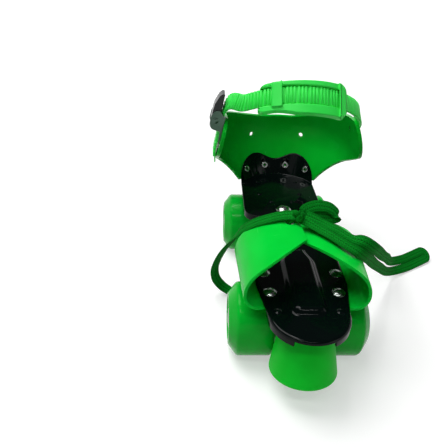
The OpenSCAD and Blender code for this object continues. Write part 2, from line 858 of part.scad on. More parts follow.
stop_rivet = [19.4, -stop_y - 1];
stop_seat_t = 2;
stop_seat_front = 12;
stop_seat_back = 6;
stop_bore_h = 13;
stop_bolt_d = 8;

// A point of the tilted seat, y along it and z above it, as (Y, Z)
function on_seat(y, z) = [
    -stop_y + y * cos(stop_tilt) + z * sin(stop_tilt),
    stop_z - y * sin(stop_tilt) + z * cos(stop_tilt)
];

module at_seat() {
    translate([0, -stop_y, stop_z])
        rotate([-stop_tilt, 0, 0])
            children();
}

module toe_stop() {
    edge = 2;
    top_r = stop_top_d / 2;
    foot_r = stop_foot_d / 2;
    bore_r = stop_bolt_d / 2 + run_gap;
    head_r = stop_bolt_d;
    color("limegreen")
        at_seat()
            rotate_extrude()
                polygon([
                    [bore_r, 0], [top_r, 0], [foot_r, -stop_h + edge], [foot_r - edge, -stop_h],
                    [head_r, -stop_h], [head_r, -stop_h + stop_bore_h], [bore_r, -stop_h + stop_bore_h]
                ]);
}

module toe_stop_bracket() {
    ear_t = 2;
    half = stop_bracket_w / 2;
    seat_l = stop_seat_front + stop_seat_back;
    color("#16181a")
        difference() {
            union() {
                at_seat()
                    translate([-half, -stop_seat_front, 0]) cube([stop_bracket_w, seat_l, stop_seat_t]);
                both() {
                    translate([half - ear_t / 2, 0, 0])
                        across(ear_t)
                            polygon([
                                on_seat(-stop_seat_front, 0), on_seat(stop_seat_back, 0),
                                [stop_rivet[1] + 7, deck_under], [stop_rivet[1] - 6, deck_under]
                            ]);
                    translate([half - ear_t, stop_rivet[1] - 6, deck_under - ear_t]) cube([8, 13, ear_t]);
                }
            }
            at_seat() translate([0, 0, -1]) cylinder(d = stop_bolt_d + 2 * run_gap, h = stop_seat_t + 2);
            for (side = [-1, 1])
                translate([side * stop_rivet[0], stop_rivet[1], deck_under - ear_t - 1])
                    cylinder(d = rivet_d + 2 * run_gap, h = ear_t + 2);
        }
}

module toe_stop_rivets() {
    color("#16181a")
        for (side = [-1, 1])
            translate([side * stop_rivet[0], stop_rivet[1], deck_z])
                rivet(rivet_d, flush_head_d, flush_head_h, plate_t + 2);
}

module toe_stop_bolt() {
    head_h = 5.3;
    head_z = -stop_h + stop_bore_h;
    color("silver")
        at_seat() {
            translate([0, 0, head_z - head_h]) cylinder(d = 13 / cos(30), h = head_h, $fn = 6);
            translate([0, 0, head_z - head_h / 2])
                cylinder(d = stop_bolt_d, h = head_h / 2 - head_z + stop_seat_t + 7);
        }
}

module toe_stop_nut() {
    color("silver")
        at_seat()
            translate([0, 0, stop_seat_t])
                hex_nut(13, 6, stop_bolt_d + 2 * run_gap);
}

// Heel cup

// One face of the cup's wall as (radius, Z), off from its inner face
function cup_face(off) = concat(
    [[flare_r(cup_foot_z), cup_foot_z] + off * [cos(cup_flare), -sin(cup_flare)]],
    arc(turn_c, cup_turn_r + off, -cup_flare, cup_lean, 8),
    [[lean_r(wall_top_z), wall_top_z] + off * [cos(cup_lean), sin(cup_lean)]]
);

module cup_section() {
    outer = cup_face(cup_t);
    polygon(concat(cup_face(0), [for (i = [len(outer) - 1:-1:0]) outer[i]]));
}

// Outline of the cup seen from the side, as (Y, Z)
module cup_outline() {
    back_y = cup_y + turn_start_r + cup_turn_r;
    fillet_y = wing_y + wing_corner_r;
    fillet_reach = wing_cut_r + wing_corner_r;
    fillet_z = wing_cut_c[1] + sqrt(pow(fillet_reach, 2) - pow(fillet_y - wing_cut_c[0], 2));
    fillet_a = atan2(fillet_z - wing_cut_c[1], fillet_y - wing_cut_c[0]);
    cut_end = asin((cup_foot_z - 2 - wing_cut_c[1]) / wing_cut_r);
    top_z = wing_top_z - wing_corner_r;
    rim_y = cup_y + lean_r(back_top_z);
    crown = 4;
    polygon(concat(
        arc([fillet_y, top_z], wing_corner_r, 90, 180, 8),
        arc([fillet_y, fillet_z], wing_corner_r, 180, fillet_a + 180, 8),
        arc(wing_cut_c, wing_cut_r, fillet_a, cut_end, 20),
        [[back_y, cup_foot_z - 2], [back_y, back_top_z]],
        [for (i = [0:8]) let (t = i / 9) [
            rim_y + (fillet_y - rim_y) * t,
            back_top_z + (wing_top_z - back_top_z) * t + crown * 4 * t * (1 - t)
        ]]
    ));
}

// Places square to the cup's inner wall at the heel rivets
module heel_rivet_places() {
    for (a = heel_rivet_angles)
        translate([0, cup_y, 0])
            rotate([0, 0, 90 + a])
                translate([cup_r, 0, cup_z])
                    rotate([0, 90 + cup_flare, 0])
                        children();
}

// A place on the outer face of the +X wing, X square to it and Z up along it
module on_wing(y, z) {
    translate([wing_x(z), y, z])
        rotate([0, -cup_lean, 0])
            children();
}

module heel_cup() {
    color("limegreen")
        difference() {
            intersection() {
                union() {
                    translate([0, cup_y, 0]) rotate_extrude(angle = 180) cup_section();
                    both()
                        translate([0, cup_y, 0])
                            rotate([90, 0, 0])
                                linear_extrude(cup_y - wing_y + 5)
                                    cup_section();
                }
                across(4 * cup_r) cup_outline();
            }
            heel_rivet_places() cylinder(d = rivet_d + 2 * run_gap, h = 20, center = true);
            for (a = [-vent_angle, vent_angle])
                translate([0, cup_y, vent_z])
                    rotate([0, 0, 90 + a])
                        rotate([0, 90, 0])
                            cylinder(d = vent_d, h = 2 * cup_r);
            strap_rivet_place() cylinder(d = rivet_d + 2 * run_gap, h = 20, center = true);
            buckle_rivet_places() cylinder(d = rivet_d + 2 * run_gap, h = 20, center = true);
        }
}

module heel_strip() {
    half_a = 47;
    color("silver")
        difference() {
            translate([0, cup_y, 0])
                rotate([0, 0, 90 - half_a])
                    rotate_extrude(angle = 2 * half_a)
                        translate([cup_r, cup_z])
                            rotate(-cup_flare)
                                translate([cup_t + run_gap, -strip_h / 2])
                                    square([strip_t, strip_h]);
            heel_rivet_places() cylinder(d = rivet_d + 2 * run_gap, h = 20, center = true);
        }
}

// Tubular rivets: domed outside, rolled open end inside
module heel_rivets() {
    roll_gap = 0.12;
    stack = plate_t + run_gap + roll_gap;
    outside = cup_t + run_gap + strip_t;
    color("gainsboro")
        heel_rivet_places()
            difference() {
                union() {
                    translate([0, 0, outside]) dome(rivet_head_d, rivet_head_h);
                    translate([0, 0, -stack - 0.8]) cylinder(d = rivet_d, h = stack + outside + 1);
                    translate([0, 0, -stack - 0.8]) cylinder(d = rivet_d * 1.5, h = 0.8);
                }
                translate([0, 0, -stack - 2]) cylinder(d = rivet_d * 0.5, h = 4);
            }
}

// Ankle strap

// How far the strap has turned towards the buckle at angle a, from 0 to 1
function turn_at(a) =
    let (t = max(0, (a - rise_from) / (180 - loop_lead - rise_from)))
    t * t * (3 - 2 * t);

// Rise of the loop's plane at angle a
function rise_at(a) = strap_rise + (buckle_rise - strap_rise) * turn_at(a);

function loop_point(a) =
    let (s = loop_r * (sin(a) - sin(loop_lead)))
    [loop_r * cos(a) - buckle_t * turn_at(a), strap_y - s * cos(rise_at(a)), strap_z + s * sin(rise_at(a))];

// How much the strap still lies flat against the nearer wing at angle a, from 1 to 0
function flat_at(a) =
    let (t = max(0, 1 - (min(a, 180 - a) - loop_lead) / 25))
    t * t * (3 - 2 * t);

function loop_out(a) =
    let (side = a < 90 ? 1 : -1)
    flat_at(a) * [side * cos(cup_lean), 0, sin(cup_lean)]
    + (1 - flat_at(a)) * [cos(a), -sin(a) * cos(rise_at(a)), sin(a) * sin(rise_at(a))];

// The straight ends follow the wings' outer faces
function fixed_point(l) =
    let (z = strap_z - l * sin(strap_rise))
    [strap_x + (strap_z - z) * tan(cup_lean), strap_y + l * cos(strap_rise), z];

function tail_point(l) =
    let (near = min(l, tail_bend), far = max(0, l - tail_bend))
    [-strap_x - buckle_t - near * sin(cup_lean), strap_y, strap_z - near * cos(cup_lean) - far];

strap_path = concat(
    [for (l = [strap_fixed_l:-6:1]) fixed_point(l)],
    [for (a = [loop_lead:loop_step:180 - loop_lead]) loop_point(a)],
    [for (l = [2:6:strap_tail_l]) tail_point(l)]
);

// Outward direction of the strap's flat side at each point of its path
wing_out = [cos(cup_lean), 0, sin(cup_lean)];
strap_out = concat(
    [for (l = [strap_fixed_l:-6:1]) wing_out],
    [for (a = [loop_lead:loop_step:180 - loop_lead]) loop_out(a)],
    [for (l = [2:6:strap_tail_l]) [-wing_out[0], 0, wing_out[2]]]
);

function unit(v) = v / norm(v);
function tangent(p, i) = unit(p[min(i + 1, len(p) - 1)] - p[max(i - 1, 0)]);

// Four corners of a flat band at point i, its flat side turned to face the way it is given
function band_corners(p, i, away, w, t) =
    let (
        along = tangent(p, i),
        out = unit(away - (away * along) * along),
        side = cross(along, out)
    )
    [for (k = [[-1, -1], [1, -1], [1, 1], [-1, 1]]) p[i] + k[0] * side * w / 2 + k[1] * out * t / 2];

// Faces of a tube of n rings with m corners each
function tube_faces(n, m) = concat(
    [for (i = [0:n - 2], k = [0:m - 1]) [i * m + k, i * m + (k + 1) % m, (i + 1) * m + (k + 1) % m]],
    [for (i = [0:n - 2], k = [0:m - 1]) [i * m + k, (i + 1) * m + (k + 1) % m, (i + 1) * m + k]],
    [for (k = [1:m - 2]) [0, k + 1, k]],
    [for (k = [1:m - 2]) [(n - 1) * m, (n - 1) * m + k, (n - 1) * m + k + 1]]
);

module ankle_strap() {
    last = len(strap_path) - 1;
    pts = [for (i = [0:last]) each band_corners(strap_path, i, strap_out[i], strap_w, strap_t)];
    color("limegreen")
        difference() {
            polyhedron(pts, tube_faces(len(strap_path), 4), convexity = 8);
            strap_rivet_place() cylinder(d = rivet_d + 2 * run_gap, h = 20, center = true);
        }
}

module strap_rivet_place() {
    p = fixed_point(strap_rivet_back);
    on_wing(p[1], p[2])
        rotate([0, 90, 0])
            children();
}

module strap_rivet() {
    outside = soft_gap + strap_t + 0.2;
    color("gainsboro")
        strap_rivet_place()
            translate([0, 0, outside])
                rivet(rivet_d, rivet_head_d - 1, rivet_head_h, outside + cup_t);
}

// Plane of the loop: X across the skate, Y along the rise, Z down and forward
module in_loop() {
    translate([0, loop_y, loop_z])
        rotate([180 - strap_rise, 0, 0])
            children();
}

// Ring about the loop's axis, h high
module loop_ring(r0, r1, h) {
    translate([0, 0, -h / 2])
        difference() {
            cylinder(r = r1, h = h, $fn = 128);
            translate([0, 0, -1]) cylinder(r = r0, h = h + 2, $fn = 128);
        }
}

// Window in the loop's front half, from x0 to x1 and h high
module loop_window(x0, x1, h) {
    translate([x0, 0, -h / 2]) cube([x1 - x0, 2 * loop_r, h]);
}

module strap_pad() {
    strap_in = loop_r - strap_t / 2 - soft_gap;
    strap_out = loop_r + strap_t / 2 + soft_gap;
    channel_h = strap_w + 2 * soft_gap;
    full_h = pad_h + 6;
    rail_h = 0.5;
    left = pad_shift - pad_l / 2;
    right = pad_shift + pad_l / 2;
    end_in = right - pad_end_w;
    bridge = [bridge_x - bridge_w / 2, bridge_x + bridge_w / 2];
    color("limegreen")
        in_loop()
            difference() {
                intersection() {
                    union() {
                        intersection() {
                            loop_ring(strap_in - pad_t, strap_out + rail_h, full_h);
                            loop_window(left, right, full_h);
                        }
                        intersection() {
                            loop_ring(strap_in - pad_t, strap_out + pad_t, channel_h + 2 * pad_t);
                            loop_window(bridge[0], bridge[1], full_h);
                        }
                        intersection() {
                            loop_ring(strap_in - pad_t, strap_out + pad_t, full_h);
                            loop_window(end_in, right, full_h);
                        }
                    }
                    rotate([-90, 0, 0])
                        linear_extrude(2 * loop_r)
                            pad_face(left, right);
                }
                loop_ring(strap_in, strap_out, channel_h);
                for (open = [[left - 1, bridge[0]], [bridge[1], end_in]])
                    intersection() {
                        loop_ring(strap_in, strap_out + pad_t + 1, channel_h);
                        loop_window(open[0], open[1], channel_h);
                    }
                intersection() {
                    loop_ring(strap_in - pad_t - 1, strap_out, channel_h);
                    loop_window(end_in, right + 1, channel_h);
                }
            }
}

// Face of the pad, deeper towards its end band, with a wave in its lower edge
module pad_face(x0, x1) {
    top = pad_h / 2 - 1;
    low = -pad_h / 2 - 1.5;
    step = 2.5;
    tip_r = 3;
    r = pad_corner_r;
    polygon(concat(
        arc([x1 - r, top - r], r, 0, 90, 6), arc([x0 + r, top - 1.5 - r], r, 90, 180, 6),
        arc([x0 + tip_r, low + step + tip_r], tip_r, 180, 270, 4),
        [for (i = [0:8]) [x0 + 10 + 20 * i / 8, low + step * (1 + cos(180 * i / 8)) / 2]],
        arc([x1 - r, low + r], r, 270, 360, 6)
    ));
}

// Buckle on the -X wing

module at_buckle() {
    mirror([1, 0, 0])
        on_wing(strap_y, buckle_z)
            children();
}

module buckle_rivet_places() {
    at_buckle()
        translate([0, 0, -buckle_rivet_drop])
            rotate([0, 90, 0])
                children();
}

// A side outline of the buckle drawn as (X, Z), made w thick about its middle
module buckle_across(w) {
    rotate([90, 0, 0])
        linear_extrude(w, center = true)
            children();
}

module buckle_frame() {
    half = buckle_h / 2;
    corner = 6;
    out_w = buckle_in_w + 2 * buckle_t;
    color("silver")
        at_buckle()
            difference() {
                union() {
                    translate([0, -out_w / 2, -half]) cube([buckle_t, out_w, buckle_base_h]);
                    for (side = [-1, 1])
                        translate([0, side * (buckle_in_w / 2 + buckle_t / 2), 0])
                            buckle_across(buckle_t)
                                polygon(concat(
                                    [[0, -half], [buckle_t, -half], [buckle_t + 1, half - cheek_h]],
                                    arc([buckle_reach - corner, half - cheek_h + corner],
                                        corner, 300, 360, 6),
                                    arc([buckle_reach - corner, half - corner], corner, 0, 90, 8),
                                    [[0, half - 5]]
                                ));
                }
                translate([pivot_x, 0, pivot_z]) rotate([90, 0, 0])
                    cylinder(d = pin_d + 2 * run_gap, h = 2 * strap_w, center = true);
                translate([0, 0, -buckle_rivet_drop]) rotate([0, 90, 0])
                    cylinder(d = rivet_d + 2 * run_gap, h = 4 * buckle_t, center = true);
            }
}

module buckle_pin() {
    reach = buckle_in_w / 2 + buckle_t;
    color("gainsboro")
        at_buckle()
            translate([pivot_x, 0, pivot_z])
                rotate([90, 0, 0]) {
                    cylinder(d = pin_d, h = 2 * reach + 0.2, center = true);
                    for (side = [0, 1])
                        mirror([0, 0, side]) translate([0, 0, reach]) dome(pin_d * 1.8, 1);
                }
}

module buckle_lever() {
    cam_r = lever_t;
    tip = [pivot_x - 4, pivot_z + lever_l];
    mid_z = pivot_z + lever_l * 0.55;
    color("#141414")
        at_buckle()
            difference() {
                buckle_across(lever_w)
                    union() {
                        translate([pivot_x, pivot_z]) circle(cam_r);
                        polygon([
                            [pivot_x - cam_r, pivot_z], [pivot_x + cam_r, pivot_z],
                            [pivot_x + cam_r, mid_z - 4], [pivot_x + cam_r - 0.4, mid_z + 1],
                            tip + [4.6, -1.5], tip + [2.8, 0.6], tip + [1, 0.6], [pivot_x - cam_r + 0.2, mid_z]
                        ]);
                    }
                translate([pivot_x, 0, pivot_z]) rotate([90, 0, 0])
                    cylinder(d = pin_d + 2 * run_gap, h = 2 * strap_w, center = true);
            }
}

// Domed inside the cup, flush under the strap
module buckle_rivets() {
    color("gainsboro")
        buckle_rivet_places()
            mirror([0, 0, 1])
                translate([0, 0, cup_t]) {
                    dome(rivet_head_d - 2, 1.2);
                    translate([0, 0, -cup_t - buckle_t]) cylinder(d = rivet_d, h = cup_t + buckle_t + 0.5);
                }
}

// Lace

// Ring of a flat band at point i of a route, wide towards the given side
function lace_ring(p, i, side, size) =
    let (
        along = tangent(p, i),
        wide = unit(side - (side * along) * along),
        out = cross(wide, along)
    )
    [for (k = [0:lace_sides - 1]) let (a = 360 * (k + 0.5) / lace_sides)
        p[i] + wide * size[0] / 2 * cos(a) + out * size[1] / 2 * sin(a)];

module lace(route, sides, size) {
    pts = [for (i = [0:len(route) - 1]) each lace_ring(route, i, sides[i], size)];
    color("green")
        translate(lace_move)
            polyhedron(pts, tube_faces(len(route), lace_sides), convexity = 8);
}

module lace_knot() {
    color("green")
        translate(knot + lace_move)
            sphere(d = knot_d);
}

wheel(-1, -wheelbase / 2);  // wheel_front_right
wheel(1, -wheelbase / 2);  // wheel_front_left
wheel(-1, wheelbase / 2);  // wheel_rear_right
wheel(1, wheelbase / 2);  // wheel_rear_left
races(-1, -wheelbase / 2);  // races_front_right
races(1, -wheelbase / 2);  // races_front_left
races(-1, wheelbase / 2);  // races_rear_right
races(1, wheelbase / 2);  // races_rear_left
ball_set(-1, -wheelbase / 2);  // balls_front_right
ball_set(1, -wheelbase / 2);  // balls_front_left
ball_set(-1, wheelbase / 2);  // balls_rear_right
ball_set(1, wheelbase / 2);  // balls_rear_left
inner_races(-wheelbase / 2);  // front_inner_races
inner_races(wheelbase / 2);  // rear_inner_races
axle(-wheelbase / 2);  // front_axle
axle(wheelbase / 2);  // rear_axle
axle_spacers(-wheelbase / 2);  // front_axle_spacers
axle_spacers(wheelbase / 2);  // rear_axle_spacers
axle_washers(-wheelbase / 2);  // front_axle_washers
axle_washers(wheelbase / 2);  // rear_axle_washers
axle_nuts(-wheelbase / 2);  // front_axle_nuts
axle_nuts(wheelbase / 2);  // rear_axle_nuts
truck(-wheelbase / 2, front_rivets);  // front_truck
truck(wheelbase / 2, rear_rivets);  // rear_truck
axle_cradle(-wheelbase / 2);  // front_axle_cradle
axle_cradle(wheelbase / 2);  // rear_axle_cradle
front_plate();
heel_plate();
slide_bar();
plate_bolt(-front_bolt_y);  // front_bolt
clamp_washer(-front_bolt_y);  // front_clamp_washer
plate_nut(-front_bolt_y);  // front_bolt_nut
plate_bolt(heel_bolt_y);  // adjusting_bolt
clamp_washer(heel_bolt_y);  // adjusting_washer
plate_nut(heel_bolt_y);  // adjusting_nut
toe_flap(-1);  // toe_flap_right
toe_flap(1);  // toe_flap_left
toe_flap_rivets();
rear_truck_rivets();
toe_stop();
toe_stop_bracket();
toe_stop_bolt();
toe_stop_nut();
toe_stop_rivets();
heel_cup();
heel_strip();
heel_rivets();
ankle_strap();
strap_rivet();
strap_pad();
buckle_frame();
buckle_lever();
buckle_pin();
buckle_rivets();
lace_knot();
lace(tail_route, tail_sides, lace_size);  // lace_tail
lace(loop_route, loop_sides, lace_size);  // lace_long_loop
lace(small_loop_route, small_sides, lace_size);  // lace_small_loop
lace(under_route, under_sides, bunch_size);  // lace_cross
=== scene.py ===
# %% [markdown]
# # A strap-on quad roller skate
# This lesson dresses a child's strap-on skate: four moulded wheels, two pressed steel sole plates,
# two toe flaps tied with a flat lace, and a heel cup with a ribbed ankle strap. The solids come from
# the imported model. The pieces made here stand for those solids and take their places; a few edges are
# drawn some millimetres away, where the picture shows them so. Sizes are in millimetres, as on a
# workshop drawing, and become metres when a mesh is made.

import json
import math
from functools import partial

import bmesh
import bpy
import numpy as np
from mathutils import Matrix, Vector


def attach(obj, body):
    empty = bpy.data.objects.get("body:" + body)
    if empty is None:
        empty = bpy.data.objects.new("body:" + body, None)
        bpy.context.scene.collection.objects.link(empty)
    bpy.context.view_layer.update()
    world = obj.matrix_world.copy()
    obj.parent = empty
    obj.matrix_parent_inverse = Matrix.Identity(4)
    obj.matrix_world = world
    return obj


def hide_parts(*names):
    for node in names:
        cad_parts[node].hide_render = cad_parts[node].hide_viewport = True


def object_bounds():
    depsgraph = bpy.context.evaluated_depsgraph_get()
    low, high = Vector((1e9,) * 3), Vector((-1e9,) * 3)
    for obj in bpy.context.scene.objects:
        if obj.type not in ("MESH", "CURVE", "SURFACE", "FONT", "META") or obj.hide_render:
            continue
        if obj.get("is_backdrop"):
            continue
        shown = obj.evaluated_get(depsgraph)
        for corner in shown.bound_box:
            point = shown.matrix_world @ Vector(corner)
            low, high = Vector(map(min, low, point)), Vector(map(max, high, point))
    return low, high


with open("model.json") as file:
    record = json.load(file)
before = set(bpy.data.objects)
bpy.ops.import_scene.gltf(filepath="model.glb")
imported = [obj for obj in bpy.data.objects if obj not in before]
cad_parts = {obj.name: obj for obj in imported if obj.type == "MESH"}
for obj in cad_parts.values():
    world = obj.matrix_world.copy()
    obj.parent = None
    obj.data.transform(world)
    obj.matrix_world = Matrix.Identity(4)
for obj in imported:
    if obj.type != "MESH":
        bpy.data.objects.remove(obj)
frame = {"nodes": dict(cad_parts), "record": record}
solid_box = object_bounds()
scene = bpy.context.scene
MM = 0.001
bodies = frame["record"]["behaviour"]["bodies"]
body_of_node = {node: body for body, nodes in bodies.items() for node in nodes}

# %% [markdown]
# ## Helpers for meshes
# Small tools do most of the work. They make an object from points in millimetres, join rings and
# rows of points with faces, turn a profile about an axle as a lathe does, apply modifiers so that a
# finished piece is a plain mesh, and say which solid a piece stands for.


# %% Objects and plain meshes
def new_object(name, data):
    made = bpy.data.objects.new(name, data)
    scene.collection.objects.link(made)
    return made


def mesh_piece(name, points, faces, finish):
    mesh = bpy.data.meshes.new(name)
    mesh.from_pydata([Vector(p) * MM for p in points], [], faces)
    mesh.materials.append(finish)
    return new_object(name, mesh)


def smoothed(mesh, sharp):
    """Shades a mesh smooth up to an angle."""
    mesh.shade_smooth()
    mesh.set_sharp_from_angle(angle=math.radians(sharp))


def tidy_mesh(mesh, sharp, outward=True):
    """Closes seams, turns the faces outwards and shades the mesh."""
    work = bmesh.new()
    work.from_mesh(mesh)
    bmesh.ops.remove_doubles(work, verts=work.verts, dist=0.002 * MM)
    bmesh.ops.dissolve_degenerate(work, edges=work.edges, dist=0.001 * MM)
    if outward:
        bmesh.ops.recalc_face_normals(work, faces=work.faces)
    work.to_mesh(mesh)
    work.free()
    smoothed(mesh, sharp)


def add_modifier(piece, kind, **settings):
    modifier = piece.modifiers.new(kind.title(), kind)
    for key, value in settings.items():
        setattr(modifier, key, value)


def applied(piece):
    """Turns a piece and its modifiers into a plain mesh."""
    graph = bpy.context.evaluated_depsgraph_get()
    done = bpy.data.meshes.new_from_object(piece.evaluated_get(graph))
    piece.modifiers.clear()
    piece.data = done


def settled(piece, sharp=50, outward=True):
    applied(piece)
    tidy_mesh(piece.data, sharp, outward)


def stands_for(piece, slot, *nodes):
    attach(piece, body_of_node[nodes[0]])
    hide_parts(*nodes)


# %% Outlines
def ease(t):
    """A step from 0 to 1 that starts and ends softly."""
    return t * t * (3 - 2 * t)


def full_turn(steps):
    return 2 * math.pi * np.arange(steps) / steps


def arc_points(centre, radius, start, end, steps):
    angles = np.radians(np.linspace(start, end, steps + 1))
    return [(centre[0] + radius * math.cos(a), centre[1] + radius * math.sin(a)) for a in angles]


def rounded(corners, radii, steps):
    """A closed outline with each corner rounded by its own radius."""
    outline, corners = [], np.array(corners, float)
    for i, (here, radius) in enumerate(zip(corners, radii)):
        arms = np.array((corners[i - 1], corners[(i + 1) % len(corners)])) - here
        lengths = np.linalg.norm(arms, axis=1)
        back, on = arms / lengths[:, None]
        half = math.acos(max(-1, min(1, float(back @ on)))) / 2
        if radius <= 0 or half > math.radians(89):
            outline.append(tuple(here))
            continue
        cut = min(radius / math.tan(half), 0.48 * lengths.min())
        radius = cut * math.tan(half)
        middle = here + (back + on) / np.linalg.norm(back + on) * radius / math.sin(half)
        (x0, y0), (x1, y1) = here + back * cut - middle, here + on * cut - middle
        start, end = math.degrees(math.atan2(y0, x0)), math.degrees(math.atan2(y1, x1))
        outline += arc_points(middle, radius, start, start + (end - start + 180) % 360 - 180, steps)
    return outline


def inside(outline, x, y):
    """Which points lie inside a closed outline, by counting the edges beside them."""
    corners = np.array(outline, float)
    hit = np.zeros(np.shape(x), bool)
    for (x0, y0), (x1, y1) in zip(corners, np.roll(corners, -1, 0)):
        if y0 != y1:
            hit ^= ((y0 > y) != (y1 > y)) & (x < x0 + (x1 - x0) * (y - y0) / (y1 - y0))
    return hit


# %% Faces and sheets
def ring_faces(rings, sides, closed=False):
    """Faces between rings of points that follow one another."""
    faces = []
    for i in range(rings if closed else rings - 1):
        j = (i + 1) % rings
        for k in range(sides):
            m = (k + 1) % sides
            faces.append((i * sides + k, i * sides + m, j * sides + m, j * sides + k))
    return faces


def sheet_piece(name, rows, finish):
    """A sheet from rows of equally many points."""
    wide = len(rows[0])
    faces = [(r * wide + c, r * wide + c + 1, (r + 1) * wide + c + 1, (r + 1) * wide + c)
             for r in range(len(rows) - 1) for c in range(wide - 1)]
    return mesh_piece(name, [p for row in rows for p in row], faces, finish)


def thickened(sheet, thick, lip, segments):
    """Gives a sheet its thickness and a rounded lip."""
    add_modifier(sheet, "SOLIDIFY", thickness=thick * MM, offset=0.0)
    add_modifier(sheet, "BEVEL", width=lip * MM, segments=segments, limit_method="ANGLE",
                 angle_limit=math.radians(50))
    settled(sheet)


def eased_share(steps, softness):
    """Shares from 0 to 1 that lie closer together at both ends."""
    share = np.linspace(0, 1, steps)
    return (1 - softness) * share + softness * (0.5 - 0.5 * np.cos(math.pi * share))


def spread_over(values, held, share):
    """Spreads shares over the held part of some values."""
    first, last = values[held[0]], values[held[-1]]
    return first + (last - first) * share


# %% Turning and punching
def turned_mesh(profile, turns, closed=True):
    """Points and faces of a profile (radius, height) turned about Z."""
    points, rings, faces = [], [], []
    for radius, height in profile:
        if radius < 1e-6:
            rings.append([len(points)] * turns)
            points.append((0, 0, height))
        else:
            rings.append([len(points) + k for k in range(turns)])
            points += [(radius * math.cos(a), radius * math.sin(a), height) for a in full_turn(turns)]
    for low, high in zip(rings, rings[1:] + (rings[:1] if closed else [])):
        for k in range(turns):
            m = (k + 1) % turns
            face = list(dict.fromkeys((low[k], low[m], high[m], high[k])))
            if len(face) > 2:
                faces.append(face)
    return points, faces


def turned_piece(name, profile, finish, place):
    """A lathe piece; place is a matrix in millimetres."""
    points, faces = turned_mesh(profile, 120)
    piece = mesh_piece(name, [place @ Vector(p) for p in points], faces, finish)
    tidy_mesh(piece.data, 38)
    return piece


def punched(piece, holes):
    """Cuts round holes; each hole is a middle, a direction, a radius and a length."""
    sides, points, faces = 32, [], []
    ends = [tuple(range(sides))[::-1], tuple(range(sides, 2 * sides))]
    for middle, way, radius, length in holes:
        turn = way.to_track_quat("Z", "Y").to_matrix()
        faces += [tuple(len(points) + k for k in face) for face in ring_faces(2, sides) + ends]
        for end in (-0.5, 0.5):
            points += [middle + turn @ Vector((radius * math.cos(a), radius * math.sin(a), end * length))
                       for a in full_turn(sides)]
    punch = mesh_piece("punch", points, faces, piece.data.materials[0])
    add_modifier(piece, "BOOLEAN", object=punch, operation="DIFFERENCE", solver="EXACT")
    settled(piece)
    bpy.data.objects.remove(punch)


# %% [markdown]
# ## Helpers for shader nodes
# A socket takes either another node's result or a plain value, and one helper feeds it with both.
# The others each add one kind of node and hand back its result.


# %% Node helpers
def feed(tree, socket, value):
    if hasattr(value, "is_linked"):
        tree.links.new(value, socket)
    else:
        socket.default_value = (*value, 1) if socket.type == "RGBA" else value


def feed_all(tree, node, values):
    for label, value in values.items():
        feed(tree, node.inputs[label], value)


def add_node(tree, kind, inputs, result=0, **settings):
    """Adds a node, feeds its sockets and hands back one of its results."""
    node = tree.nodes.new("ShaderNode" + kind)
    for key, value in settings.items():
        setattr(node, key, value)
    feed_all(tree, node, inputs)
    return node.outputs[result]


def math_node(tree, operation, first, second=0.0):
    return add_node(tree, "Math", {0: first, 1: second}, operation=operation)


def range_node(tree, value, low, high, to_low, to_high):
    return add_node(tree, "MapRange", {
        "Value": value, "From Min": low, "From Max": high, "To Min": to_low, "To Max": to_high}, "Result")


def noise_node(tree, vector, scale, detail, rough=0.5):
    return add_node(tree, "TexNoise", {
        "Vector": vector, "Scale": scale, "Detail": detail, "Roughness": rough}, "Fac")


def stretched(tree, vector, scale, turn=(0, 0, 0)):
    return add_node(tree, "Mapping", {"Vector": vector, "Scale": scale, "Rotation": turn}, "Vector")


def blend_colour(tree, mask, first, second):
    return add_node(tree, "Mix", {0: mask, 6: first, 7: second}, 2, data_type="RGBA")


def bumpy(tree, shader, height, depth_mm):
    bump = add_node(tree, "Bump", {"Strength": 1.0, "Distance": depth_mm * MM, "Height": height}, "Normal")
    feed(tree, shader.inputs["Normal"], bump)


def new_material(name):
    material = bpy.data.materials.new(name)
    material.use_nodes = True
    return material, material.node_tree, material.node_tree.nodes["Principled BSDF"]


print("helpers ready")

# %% [markdown]
# ## The camera
# The skate is seen from a little above its toe. The camera's place and turn were found by fitting
# the four wheels and the sole plate to their places in the picture, so they are plain numbers here.
# A camera can be aimed with a constraint, but a matrix written out once keeps its small roll.

# %% Camera
pitch, yaw, roll = math.radians(32.27), math.radians(2.31), math.radians(1.92)
camera_spot = (-0.0633, -0.3134, 0.2623)
sensor_mm, focal_px, picture_px = 36, 470, 448
ahead = Vector((math.sin(yaw) * math.cos(pitch), math.cos(yaw) * math.cos(pitch), -math.sin(pitch)))
level = Vector((math.cos(yaw), -math.sin(yaw), 0))
upright = level.cross(ahead)
right = math.cos(roll) * level + math.sin(roll) * upright
up = -math.sin(roll) * level + math.cos(roll) * upright
camera_data = bpy.data.cameras.new("camera")
camera_data.sensor_width = sensor_mm
camera_data.lens = sensor_mm * focal_px / picture_px
camera = new_object("camera", camera_data)
camera.matrix_world = Matrix(
    [(right[k], up[k], -ahead[k], camera_spot[k]) for k in range(3)] + [(0, 0, 0, 1)])
scene.camera = camera
print("lens", round(camera_data.lens, 2), "mm")

# %% [markdown]
# ## Floor, backdrop and light
# A large soft lamp hangs above and to the left, because the picture is bright on what faces up and
# left, and dark inside the heel cup. Two narrow strips, one beside it and one in front, draw the thin
# highlights on wheels, paint and lips, and two weak lamps fill the front. The floor is pale and matt,
# and turns up far away into a round wall, as in a photo studio. To the camera, and in mirrors, it
# also glows, more so far away, so that it reads as white and still keeps the skate's shadow. The
# ceiling stays dim, so shiny things that face up keep their colour.


# %% Floor and world
def seen_rays(tree):
    """1 for rays that come from the camera, a mirror or glass."""
    path = tree.nodes.new("ShaderNodeLightPath")
    seen = math_node(tree, "MAXIMUM", path.outputs["Is Camera Ray"], path.outputs["Is Glossy Ray"])
    return math_node(tree, "MAXIMUM", seen, path.outputs["Is Transmission Ray"])


